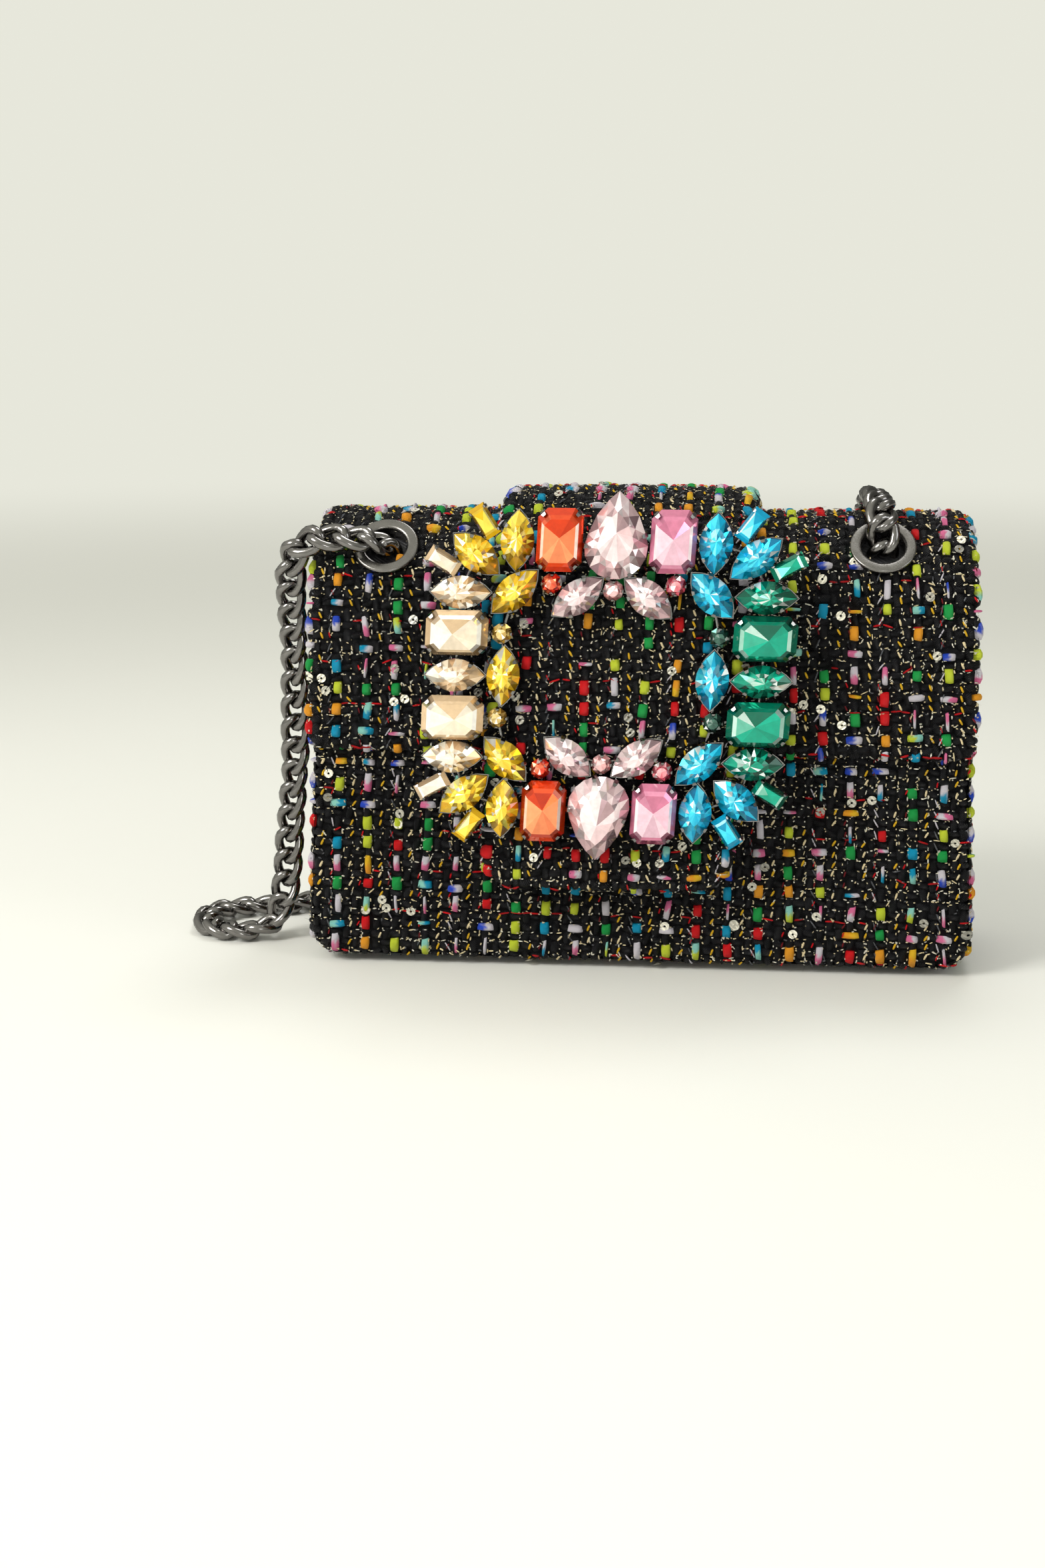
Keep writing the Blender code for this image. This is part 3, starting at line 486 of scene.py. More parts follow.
# The tweed: yarn spacings, how many yarns come to a coloured one, half sizes of the black yarns' floats,
# the share of coloured places that are filled, and how many threads, fibres and sequins lie on a square
# millimetre.
weave = {"across": 2.9, "down": 3.12, "ribbonEvery": 3, "rowEvery": 4, "upright": (2.5, 1.42),
         "level": (2.2, 1.30), "filled": 0.84, "gold": 0.34, "fuzz": 0.24, "sequin": 0.0026,
         "sequinRadius": 1.35, "skinCuts": 60}
dyes = {
    "black": (0.0052, 0.0052, 0.0062), "red": (0.72, 0.006, 0.010), "green": (0.01, 0.36, 0.07),
    "lime": (0.62, 0.72, 0.04), "cyan": (0.0, 0.32, 0.55), "blue": (0.02, 0.07, 0.58),
    "white": (0.72, 0.68, 0.74), "pink": (0.80, 0.17, 0.36), "orange": (0.90, 0.36, 0.02),
    "mint": (0.30, 0.70, 0.60), "gold": (1.0, 0.83, 0.50), "cream": (1.0, 0.95, 0.78),
    "yellow": (0.88, 0.52, 0.02), "grey": (0.13, 0.135, 0.15), "maroon": (0.20, 0.01, 0.015),
}


def dye(names, picks):
    return np.array([dyes[n] for n in names])[picks]


def strands(place, spots, size, slot, tints, parts=(4, 4)):
    # Each strand is a small patch: long and wide half sizes, a half-cosine hump along it and a half circle
    # across it, turned by an angle from upright and set on the sheet.
    u, v, turn = spots
    long, wide, rise, sink = [np.broadcast_to(np.asarray(q, float), u.shape)[:, None, None] for q in size]
    a, b = np.meshgrid(np.linspace(-1, 1, parts[0] + 1), np.linspace(-1, 1, parts[1] + 1), indexing="ij")
    full = np.sqrt(np.clip(np.cos(a * math.pi / 2), 0, 1))
    along, across = a * long, b * wide * (0.62 + 0.38 * full)
    h = -sink + rise * full * np.sqrt(np.clip(1 - b**2, 0, 1))
    c, s = np.cos(turn)[:, None, None], np.sin(turn)[:, None, None]
    pu = u[:, None, None] + across * c + along * s
    pv = v[:, None, None] - across * s + along * c
    points = place(pu, pv, h)
    shift = rng.uniform(0, 50, len(u))[:, None, None]
    uv = np.stack([along + shift, across + shift], -1)
    tints = np.broadcast_to(tints, (len(u), 3))[:, None, None] * np.ones((1, *a.shape, 1))
    return layer(points, gridQuads(*a.shape, len(u)), slot, uv, tints.reshape(-1, 3))


def ribbons(place, spots, size, slot, first, last):
    # A flat woven tape: long and wide half sizes. Its height is a high power of a circle both ways, so the
    # top is level and the rim steep. The colour changes from first to last halfway along, on a ragged line.
    u, v, turn = spots
    long, wide, rise = [np.broadcast_to(np.asarray(q, float), u.shape)[:, None, None] for q in size]
    a, b = np.meshgrid([-1, -0.88, -0.25, 0.05, 0.35, 0.88, 1], [-1, -0.84, -0.3, 0.3, 0.84, 1],
                       indexing="ij")
    flat = np.sqrt(np.clip(1 - a**8, 0, 1) * np.clip(1 - b**8, 0, 1))
    along = a * long * (1 + 0.06 * np.sin(b * 9 + v[:, None, None]))
    across = b * wide * (1 - 0.10 * a**2)
    h = -0.25 + (rise + 0.25) * flat - 0.25 * np.abs(a) ** 3
    c, s = np.cos(turn)[:, None, None], np.sin(turn)[:, None, None]
    points = place(u[:, None, None] + across * c + along * s, v[:, None, None] - across * s + along * c, h)
    shift = rng.uniform(0, 50, len(u))[:, None, None]
    uv = np.stack([along + shift, across + shift], -1)
    share = np.clip(a * 4 + 0.5 + 0.8 * np.sin(b * 7 + shift), 0, 1)[..., None]
    tints = first[:, None, None] * (1 - share) + last[:, None, None] * share
    return layer(points, gridQuads(*a.shape, len(u)), slot, uv, tints.reshape(-1, 3))


def discs(place, u, v, radius, slot, tints):
    # a ring of eleven segments round a hole, slit on one side and tipped a little about its own middle
    a = 0.12 + np.arange(12) / 11 * (2 * math.pi - 0.24)
    r = np.array([0.26, 1.0])[:, None] * radius
    tip = rng.normal(0, 0.13, (2, len(u), 1, 1))
    start = rng.uniform(0, 2 * math.pi, len(u))[:, None, None]
    du, dv = r * np.cos(a + start), r * np.sin(a + start)
    points = place(u[:, None, None] + du, v[:, None, None] + dv, 1.75 + du * tip[0] + dv * tip[1])
    uv = np.stack([du + u[:, None, None], dv + v[:, None, None]], -1)
    tint = (np.broadcast_to(tints, (len(u), 3))[:, None, None] * np.ones((1, 2, 12, 1))).reshape(-1, 3)
    return layer(points, gridQuads(2, 12, len(u)), slot, uv, tint)


def hairs(place, u, v, slot):
    # loose fibres: three points each, leaving the cloth at a random slant and curling over, half a tenth wide
    n = len(u)
    way, long = rng.uniform(0, 2 * math.pi, n), rng.gamma(3.0, 0.30, n)
    t = np.array([0, 0.5, 1.0])[None, :]
    lean = rng.uniform(0.3, 1.3, n)[:, None]
    out = 0.6 + long[:, None] * t * (1 - 0.45 * t) * 1.2
    du = long[:, None] * lean * t**1.5 * np.cos(way)[:, None]
    dv = long[:, None] * lean * t**1.5 * np.sin(way)[:, None]
    wide = 0.035 * (1 - 0.8 * t)
    rows = [place(u[:, None] + du + k * wide * np.sin(way)[:, None],
                  v[:, None] + dv - k * wide * np.cos(way)[:, None], out) for k in (-1, 1)]
    tint = np.where(rng.uniform(size=(n, 1)) < 0.85, [dyes["black"]], [dyes["grey"]])
    points = np.stack(rows, 2)
    return layer(points, gridQuads(3, 2, n), slot, None, np.repeat(tint, 6, 0))


def tweed(name, place, low, high, fine=1.0, keep=None):
    # A plain weave: upright and level yarns take turns on top. Every third upright is a ribbon yarn with
    # coloured floats, and every fourth level row has coloured bits where it crosses one.
    p, q = weave["across"], weave["down"]
    i = np.arange(math.floor(low[0] / p), math.ceil(high[0] / p) + 1)
    j = np.arange(math.floor(low[1] / q), math.ceil(high[1] / q) + 1)
    gi, gj = [g.ravel() for g in np.meshgrid(i, j, indexing="ij")]
    u, v = gi * p, gj * q
    u = u + 0.28 * np.sin(v * 0.13 + gi * 1.7) + rng.normal(0, 0.12, u.shape)
    v = v + 0.25 * np.sin(u * 0.11 + gj * 2.1) + rng.normal(0, 0.12, v.shape)

    def inside(u, v):
        found = (u > low[0]) & (u < high[0]) & (v > low[1]) & (v < high[1])
        return found if keep is None else found & keep(u, v)

    fits = inside(u, v)
    gi, gj, u, v = gi[fits], gj[fits], u[fits], v[fits]
    column, row = gi % weave["ribbonEvery"] == 0, gj % weave["rowEvery"] == 0
    chance = rng.uniform(size=u.shape)
    bit = column & row & (chance < weave["filled"])
    tape = column & (gj % weave["rowEvery"] == 2) & (chance < weave["filled"])
    upright = ((gi + gj) % 2 == 0) & ~bit
    level = ~upright & ~bit & ~tape
    # a plain dark skin under the yarns
    cuts = weave["skinCuts"]
    su, sv = np.meshgrid(*[np.linspace(low[k] - 2, high[k] + 2, cuts) for k in (0, 1)], indexing="ij")
    quads = gridQuads(cuts, cuts)
    if keep is not None:
        quads = quads[keep(su, sv).ravel()[quads].all(1)]
    batches = [layer(place(su, sv, 0 * su), quads, 0, np.stack([su, sv], -1), dyes["black"])]
    for chosen, angle, (long, wide) in (
        (upright, 0, weave["upright"]), (level, math.pi / 2, weave["level"]),
    ):
        n = int(chosen.sum())
        turn = angle + rng.normal(0, 0.09, n)
        size = (long * rng.uniform(0.85, 1.1, n), wide * rng.uniform(0.82, 1.12, n),
                rng.uniform(1.25, 1.75, n), 0.35)
        tint = np.array(dyes["black"]) * rng.uniform(0.5, 1.9, (n, 1))
        batches.append(strands(place, (u[chosen], v[chosen], turn), size, 0, tint))
    solid = ["red", "green", "lime", "cyan", "red", "green", "lime", "orange"]
    printed = ["blue", "white", "pink", "mint", "white", "blue", "lime", "orange", "cyan", "pink"]
    second = ["white", "white", "white", "cyan", "pink", "white", "mint", "yellow", "white", "white"]
    for here, uprightShare, squareShare in ((bit, 0.0, 0.52), (tape, 1.0, 0.40)):
        n = int(here.sum())
        square = rng.uniform(size=n) < squareShare
        picks, pair = rng.integers(0, len(solid), n), rng.integers(0, len(printed), n)
        first = np.where(square[:, None], dye(solid, picks), dye(printed, pair))
        last = np.where(square[:, None], dye(solid, picks), dye(second, pair))
        turn = np.where(square | (uprightShare > 0), 0, math.pi / 2) + rng.normal(0, 0.06, n)
        long = np.where(square, rng.uniform(1.5, 2.3, n), rng.uniform(1.7, 2.6, n) + uprightShare * 0.7)
        wide = np.where(square, rng.uniform(1.2, 1.5, n), rng.uniform(0.85, 1.2, n))
        wide = wide * np.where(~square & (rng.uniform(size=n) < 0.3), 0.42, 1)
        batches.append(ribbons(place, (u[here], v[here] + rng.normal(0, 0.3, n), turn),
                               (long, wide, rng.uniform(1.65, 2.05, n)), 1, first, last))

    def scatter(rate):
        n = int((high[0] - low[0]) * (high[1] - low[1]) * rate * fine)
        su, sv = rng.uniform(low[0], high[0], n), rng.uniform(low[1], high[1], n)
        ok = inside(su, sv)
        return su[ok], sv[ok]

    gu, gv = scatter(weave["gold"])
    onRow = rng.uniform(size=gu.shape) < 0.45
    # gold thread lies in the grooves between the yarns
    gv = np.where(onRow, (np.round(gv / q - 0.5) + 0.5) * q + rng.normal(0, 0.3, gu.shape), gv)
    gu = np.where(onRow, gu, (np.round(gu / p - 0.5) + 0.5) * p + rng.normal(0, 0.3, gu.shape))
    turn = np.where(onRow, math.pi / 2, 0) + rng.normal(0, 0.35, gu.shape)
    sheen = dye(["gold", "cream", "grey"], rng.choice(3, len(gu), p=[0.5, 0.38, 0.12]))
    size = (rng.gamma(4.0, 0.075, gu.shape), rng.uniform(0.13, 0.22, gu.shape),
            rng.uniform(0.3, 0.5, gu.shape), -rng.uniform(0.9, 1.35, gu.shape))
    batches.append(strands(place, (gu, gv, turn), size, 2, sheen, (2, 1)))
    # thin twisted threads: yellow and grey ones beside some uprights, red ones along some rows
    for every, which, names, angle, size in (
        (3, 1, ["yellow", "yellow", "gold"], 0.42, (0.95, 0.30)),
        (6, 5, ["grey", "grey", "white"], -0.45, (1.35, 0.22)),
        (3, 2, ["maroon", "black", "red"], 0.30, (0.8, 0.22)),
    ):
        near = (gi % every == which) & (rng.uniform(size=gi.shape) < 0.5)
        n = int(near.sum())
        batches.append(strands(place, (u[near] + 1.1, v[near], np.full(n, angle) + rng.normal(0, 0.12, n)),
                               (size[0], size[1], 0.5, -1.0), 1, dye(names, rng.integers(0, 3, n)), (3, 2)))
    near = (gj % 4 == 1) & (rng.uniform(size=gi.shape) < 0.22)
    n = int(near.sum())
    batches.append(strands(place, (u[near], v[near] + 1.2, math.pi / 2 + rng.normal(0, 0.2, n)),
                           (rng.uniform(0.9, 1.6, n), 0.27, 0.5, -1.0), 1,
                           np.array(dyes["red"]) * rng.uniform(0.5, 1, (n, 1)), (3, 2)))
    du, dv = scatter(weave["sequin"])
    shine = np.array(dyes["cream"]) * rng.uniform(0.15, 0.75, (len(du), 1))
    batches.append(discs(place, du, dv, weave["sequinRadius"], 3, shine))
    batches.append(hairs(place, *scatter(weave["fuzz"]), 4))
    piece = meshFrom(name, batches, clothMaterials)
    print(name, len(piece.data.polygons), "faces")
    return piece


def outsideHoles(u, v):
    # the flap's cloth stops at the eyelets' rings
    middle = eyelet["shift"]
    at = (math.pi - np.radians(np.where(u < middle, *eyelet["up"]))) * flapRadius
    return np.hypot(np.abs(u - middle) - eyelet["apart"] / 2, v - at) > eyelet["hole"] + 0.4


edge = 1.8  # how far the yarns run past the body's outline, where the cloth turns under
corner = panel["corner"]
bandLength = 2 * (bandHigh[2] - corner) + corner * math.pi + 2 * (bodyHalf - corner)
for name, node, body, place, low, high, fine, keep in (
    ("flapTweed", "flap_outer", None, flapPlace, (-flapHalf - 1.5, -2.0), (flapHalf + 1.5, flapEnd + 0.3),
     1.0, outsideHoles),
    ("frontTweed", "front_panel", "body", frontPlace, (-bodyHalf - edge, panel["lift"] - edge),
     (bodyHalf + edge, bodyHigh[2]), 1.0, None),
    ("backTweed", "back_panel", "body", backPlace, (-bodyHalf - edge, panel["lift"] - edge),
     (bodyHalf + edge, backHigh[2] - 1), 0.7, None),
    ("bandTweed", "gusset_band", "body", bandPlace, (-bandHalf, 1.5), (bandHalf, bandLength - 1.5),
     0.6, None),
    ("tabTweed", "tab_outer", "flap", tabPlace, (-tabHalf - 1.5, tabFrom - 1.5),
     (tabHalf + 1.5, tabTo + 1.5), 1.0, None),
):
    cloth = tweed(name, place, low, high, fine, keep)
    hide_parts(node)
    if body:
        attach(cloth, body)
    else:
        across = np.array([0, -0.8, 0.6]) * 0.004
        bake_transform(cloth)

# ornament
stones = {
    "pear": {"half": (9.0, 12.5), "height": 6.6, "table": 0.56},
    "octagon": {"half": (6.5, 9.0), "height": 5.2, "table": 0.68},
    "navette": {"half": (4.8, 9.3), "height": 4.6, "table": 0.36},
    "baguette": {"half": (2.5, 5.0), "height": 3.0, "table": 0.60},
    "round": {"half": (3.0, 3.0), "height": 3.0, "table": 0.50},
}
# each glass: deep, clear and pale colour, between which each facet's painted light and shade is drawn
glassColours = {
    "yellow": ((0.26, 0.11, 0.002), (0.86, 0.51, 0.008), (1.0, 0.84, 0.12)),
    "champagne": ((0.40, 0.25, 0.12), (0.80, 0.58, 0.36), (0.97, 0.88, 0.74)),
    "amber": ((0.16, 0.08, 0.008), (0.50, 0.29, 0.04), (0.86, 0.68, 0.30)),
    "orange": ((0.34, 0.008, 0.002), (0.80, 0.062, 0.008), (0.97, 0.36, 0.15)),
    "red": ((0.34, 0.004, 0.002), (0.75, 0.022, 0.006), (0.95, 0.22, 0.10)),
    "lightPink": ((0.26, 0.16, 0.18), (0.74, 0.50, 0.52), (0.95, 0.84, 0.86)),
    "palePink": ((0.34, 0.10, 0.11), (0.76, 0.33, 0.33), (0.95, 0.70, 0.70)),
    "rosePink": ((0.38, 0.07, 0.14), (0.72, 0.24, 0.38), (0.93, 0.66, 0.76)),
    "rose": ((0.28, 0.01, 0.03), (0.70, 0.08, 0.13), (0.94, 0.42, 0.46)),
    "blue": ((0.0, 0.12, 0.26), (0.0, 0.42, 0.70), (0.06, 0.74, 0.95)),
    "green": ((0.0, 0.035, 0.022), (0.0, 0.17, 0.10), (0.0, 0.44, 0.28)),
    "darkGreen": ((0.004, 0.012, 0.010), (0.01, 0.04, 0.03), (0.06, 0.16, 0.12)),
}
# the upper right quarter: name, kind, place across and up, turn of the long side, left and right colour
quarter = [
    ("octagon_end", "octagon", 16.0, 39.4, 0, "orange", "rosePink"),
    ("navette_end", "navette", 28.0, 39.0, 0, "yellow", "blue"),
    ("navette_corner", "navette", 39.5, 35.0, 50, "yellow", "blue"),
    ("navette_side", "navette", 43.4, 24.0, 90, "champagne", "green"),
    ("octagon_side", "octagon", 43.9, 12.4, 90, "champagne", "green"),
    ("navette_inner", "navette", 28.0, 24.4, -45, "yellow", "blue"),
    ("navette_leaf", "navette", 10.0, 23.2, -52, "lightPink", "lightPink"),
    ("baguette_outer", "baguette", 37.6, 44.2, 35, "yellow", "blue"),
    ("baguette_side", "baguette", 48.8, 32.8, 60, "champagne", "green"),
    ("round_red", "round", 17.6, 26.9, 0, "red", "rose"),
    ("round_inner", "round", 31.0, 12.3, 0, "amber", "darkGreen"),
]
# how far the stones outside that quarter lie from the middle, the longest wire, and the rows' fall in degrees
ornament = {"centreRound": 25.2, "middleNavette": 43.8, "insideNavette": 29.9, "wireMost": 14.5, "rowFall": 0.4}
topPear, bottomPear = cadBox("stone_pear_top"), cadBox("stone_pear_bottom")
pearUp, pearDown = sum(topPear) / 2, sum(bottomPear) / 2
ornamentMiddle = (pearUp + pearDown) / 2
columnLean = (pearUp[0] - pearDown[0]) / (pearUp[2] - pearDown[2])  # across for each step up
rowSlope = math.tan(math.radians(ornament["rowFall"]))
stoneBack = topPear[1][1]
pearReach = (pearUp - pearDown)[2] / 2


def glassMaterial(name):
    # a clear coat over a half mirror of each facet's colour with its painted light and shade, which faces where
    # the back facet would
    material, shader = newMaterial("glass_" + name, Metallic=0.6, Roughness=0.10, Specular_IOR_Level=0.15,
                                   Coat_Weight=1.0, Coat_Roughness=0.015, Coat_IOR=1.38)
    tint = addNode(material, "Attribute", {"attribute_name": "tint"}).outputs["Color"]
    place = addNode(material, "TexCoord").outputs["Object"]
    cloud = addNode(material, "TexNoise", (), Vector=place, Scale=600.0, Detail=2.0)
    shade = addNode(material, "MapRange", (), Value=cloud.outputs[0], To_Min=0.78, To_Max=1.22)
    mix = addNode(material, "VectorMath", {"operation": "SCALE"}, _0=tint, Scale=shade.outputs[0])
    link(material, mix.outputs[0], shader.inputs["Base Color"])
    facing = addNode(material, "Attribute", {"attribute_name": "facing"}).outputs["Vector"]
    spaces = {"vector_type": "NORMAL", "convert_from": "OBJECT", "convert_to": "WORLD"}
    turned = addNode(material, "VectorTransform", spaces, Vector=facing)
    link(material, turned.outputs[0], shader.inputs["Normal"])
    return material


glass = {name: glassMaterial(name) for name in glassColours}


def stoneOutline(kind):
    # points round the stone, anticlockwise, its long side upright: parabolas for a navette, an arc and
    # straight sides that meet in a tip for a pear, cut corners for an octagon
    across, along = stones[kind]["half"]
    if kind == "navette":
        t = np.linspace(-1, 1, 9)
        right = np.stack([across * (1 - np.abs(t) ** 2.1), along * t], 1)
        return np.concatenate([right, right[::-1][1:-1] * [-1, 1]])
    if kind == "pear":
        a = np.radians(np.linspace(-205, 25, 12))
        low = np.stack([across * np.cos(a), across - along + across * np.sin(a)], 1)
        tip = [[0.66, 0.45], [0.30, 0.80], [0, 1], [-0.30, 0.80], [-0.66, 0.45]]
        return np.concatenate([low, np.array(tip) * [across, along]])
    if kind == "octagon":
        c = across * 0.40
        right = np.array([[across - c, -along], [across, c - along],
                          [across, along - c], [across - c, along]])
        return np.concatenate([right, right[::-1] * [-1, 1]])
    if kind == "round":
        a = np.arange(10) / 10 * 2 * math.pi
        return np.stack([across * np.cos(a), across * np.sin(a)], 1)
    return np.array([[across, -along], [across, along], [-across, along], [-across, -along]])


def onOrnament(points, spot):
    # A stone's own across, up and height above its back, turned by its angle. Then each point moves across
    # by its place up times the columns' lean, and down by its place across times the rows' slope.
    across, up, turn, flip = spot
    t = math.radians(turn)
    x, z, h = points[..., 0], points[..., 1] * flip, points[..., 2]
    u = across + x * math.cos(t) + z * math.sin(t)
    v = up - x * math.sin(t) + z * math.cos(t)
    return np.stack([ornamentMiddle[0] + u + v * columnLean, stoneBack - h,
                     ornamentMiddle[2] + v - u * rowSlope], -1)


def gem(name, kind, spot, colour):
    # Rings of the outline scaled towards its middle: the back's rim, the girdle's two edges, the crown,
    # the table's edge and one middle point. Brilliant cuts turn the crown's ring by half a step, so their
    # facets are triangles; step cuts don't.
    outline, height = stoneOutline(kind), stones[kind]["height"]
    n = len(outline)
    step = kind in ("octagon", "baguette")
    along, table = stones[kind]["half"][1], stones[kind]["table"]
    half = (outline + np.roll(outline, -1, 0)) / 2
    squeeze = (1.0, 0.92) if kind == "navette" else (1.0, 1.0)

    def ring(points, share, h):
        return np.concatenate([points * share * squeeze, np.full((n, 1), h * height)], 1)

    mid = outline if step else half
    rings = [ring(outline, 0.86, 0.0), ring(outline, 1.0, 0.26), ring(outline, 1.0, 0.34),
             ring(mid, (1 + 2 * table) / 3 + 0.02, 0.80), ring(outline, table, 1.0),
             np.array([[0, 0.10 * along, height]])]
    local = np.concatenate(rings)
    points = onOrnament(local, spot)
    a = np.arange(n)
    b = (a + 1) % n

    def band(low, high, offset):
        # two triangles a side between two rings; offset turns the upper ring by half a step
        p, q = low * n, high * n
        if offset == 0:
            return [np.stack([p + a, p + b, q + b, q + a], 1)]
        if offset > 0:
            return [np.stack([p + a, p + b, q + a, q + a], 1), np.stack([p + b, q + b, q + a, q + a], 1)]
        return [np.stack([p + a, q + b, q + a, q + a], 1), np.stack([p + a, p + b, q + b, q + b], 1)]

    turnUp = 0 if step else 1
    faces = band(0, 1, 0) + band(1, 2, 0) + band(2, 3, turnUp) + band(3, 4, -turnUp)
    quads = np.concatenate(faces + [fan(4 * n + a, 4 * n + b, 5 * n), fan(b, a, 0)[1:-1]])
    if spot[3] < 0:
        quads = np.where((quads[:, 2] == quads[:, 3])[:, None], quads[:, [1, 0, 2, 2]], quads[:, ::-1])
    corners = points[quads]
    normal = unit(np.cross(corners[:, 1] - corners[:, 0], corners[:, 2] - corners[:, 0]), 1e-12)
    middle = corners.mean(1)
    out = unit((middle - points[-1]) * [1, 0, 1], 1e-9)
    count = len(quads)
    sway = np.where(np.arange(count) % 2 == 0, 1.0, -1.0)[:, None]
    onTable = middle[:, 1] < stoneBack - 0.97 * height
    onRim = middle[:, 1] > stoneBack - 0.62 * height
    loose = np.where(onTable, 0.35, 1.0)[:, None]
    tilt = out * sway * rng.uniform(0.15, 0.6, (count, 1)) + rng.normal(0, 0.16, normal.shape)
    facing = unit(normal + loose * tilt)
    # how light each facet is, drawn as painted light and shade in place of the light inside the glass: painted
    # shade deep by the rim, painted light pale on the table and towards the lamp at the upper left, and a
    # random draw
    deep, clear, pale = np.array(glassColours[colour])
    toLight = out @ np.array([-0.75, 0, 0.65])
    sideways, upward = np.abs(out[:, 0]) > 0.8, out[:, 2]
    if step:
        # step cuts: a dark painted reflection over the upper part of the table and a pale painted highlight on
        # the left and right sides
        level = np.where(onTable, np.where(upward > 0.7, 0.26, 0.66 + 0.10 * toLight),
                         np.where(onRim, 0.20 + 0.06 * toLight, np.where(sideways, 0.80, 0.34)))
        level = level + rng.normal(0, 0.05, count)
    else:
        level = np.where(onTable, 0.60, np.where(onRim, 0.30, 0.42)) + 0.14 * toLight
        level = level + rng.normal(0, 0.18, count) * loose[:, 0]
        # a few facets drawn at random carry a white painted glint, and the upper right part of the table a dark
        # painted reflection
        level = np.where(rng.uniform(size=count) < 0.06, 0.95, level)
        level = np.where(onTable & (out[:, 0] > 0.1) & (upward > 0.72), 0.12, level)
    level = np.clip(level, 0.0, 1.0)[:, None]
    value = np.where(level < 0.33, deep + (clear - deep) * level / 0.33,
                     np.where(level < 0.7, clear + (pale - clear) * (level - 0.33) / 0.37,
                              pale + (1 - pale) * (level - 0.7) / 0.3))
    # each face gets its own corners, so that its colour and facing are flat
    apart = np.arange(count * 4).reshape(-1, 4)
    three = quads[:, 2] == quads[:, 3]
    apart[three, 3] = apart[three, 2]
    return layer(corners, apart, 0, None, np.repeat(value, 4, 0)), facing


def claws(kind, spot):
    # A claw is a bent bar with four sides, from the cup's foot up over the girdle and in onto the crown.
    # Its half width, thickness, height and place outwards are given at five stations.
    outline, height = stoneOutline(kind), stones[kind]["height"]
    n = len(outline)
    at = np.array({"navette": [2, 6, 10, 14], "pear": [1, 5, 7, 11], "octagon": [0.5, 2.5, 4.5, 6.5],
                   "round": [0, 2.5, 5, 7.5], "baguette": [0.12, 0.88, 2.12, 2.88]}[kind])
    low = at.astype(int) % n
    share = (at - at.astype(int))[:, None]
    edge = outline[low] * (1 - share) + outline[(low + 1) % n] * share
    ahead = unit(outline[(low + 1) % n] - outline[(low - (share[:, 0] == 0)) % n])
    out = np.stack([ahead[:, 1], -ahead[:, 0]], 1)
    far = np.array([0.0, 0.22, 0.28, -0.25, -1.0])
    high = np.concatenate([[-1.3], np.array([0.1, 0.36, 0.68, 0.80]) * height])
    wide = np.array([0.58, 0.62, 0.68, 0.68, 0.45])
    thick = np.array([0.28, 0.28, 0.30, 0.30, 0.2])
    if kind in ("round", "baguette"):
        far, wide, thick = far * 0.55, wide * 0.7, thick * 0.7
    ring = []
    slope = np.array([0, 0, 0.5, 0.9, 0.7])
    for sideways, lift in ((-1, -1), (1, -1), (1, 1), (-1, 1)):
        reach = (far + lift * thick * (1 - slope * 0.6))[None, :, None]
        xy = edge[:, None] + out[:, None] * reach + ahead[:, None] * (sideways * wide)[None, :, None]
        h = np.broadcast_to((high + lift * thick * slope)[None, :, None], (*xy.shape[:2], 1))
        ring.append(np.concatenate([xy, h], 2))
    points = onOrnament(np.stack(ring, 2), spot)
    count = len(at)
    quads = gridQuads(5, 4, count, True)
    caps = np.array([[16, 17, 18, 19], [3, 2, 1, 0]])[None] + (np.arange(count) * 20)[:, None, None]
    quads = np.concatenate([quads, caps.reshape(-1, 4)])
    return layer(points, quads if spot[3] > 0 else quads[:, ::-1])


def cup(kind, spot):
    # a thin wall round the stone: outside up, over the rim and down inside, and a plate behind
    outline, height = stoneOutline(kind), stones[kind]["height"]
    n = len(outline)
    foot, floor = -1.4, 0.1
    rows = [(0.84, foot), (0.92, -0.6), (0.99, 0.10 * height), (0.99, 0.22 * height),
            (0.955, 0.22 * height), (0.94, floor)]
    rings = np.stack([np.concatenate([outline * share, np.full((n, 1), h)], 1) for share, h in rows])
    points = onOrnament(rings, spot)
    quads = gridQuads(len(rows), n, 1, True)
    middle = onOrnament(np.array([[0, 0, foot], [0, 0, floor]]), spot)
    a = np.arange(n)
    b = (a + 1) % n
    base, last = len(rows) * n, (len(rows) - 1) * n
    quads = np.concatenate([quads, fan(b, a, base), fan(last + a, last + b, base + 1)])
    if spot[3] < 0:
        three = (quads[:, 2] == quads[:, 3])[:, None]
        quads = np.where(three, quads[:, [1, 0, 2, 3]], quads[:, ::-1])
    return layer(np.concatenate([points.reshape(-1, 3), middle]), quads)


def wire(start, end, radius=0.42, depth=-0.9):
    # a straight round wire between two places on the ornament
    a, b = onOrnament(np.array([[*start, depth], [*end, depth]]), (0, 0, 0, 1))
    along = (b - a) / np.linalg.norm(b - a)
    out = np.array([0, -1.0, 0])
    across = np.cross(along, out)
    t = np.arange(8) / 8 * 2 * math.pi
    ring = radius * (np.cos(t)[:, None] * across + np.sin(t)[:, None] * out)
    return layer(np.stack([a + ring, b + ring]), gridQuads(2, 8, 1, True)[:, ::-1])


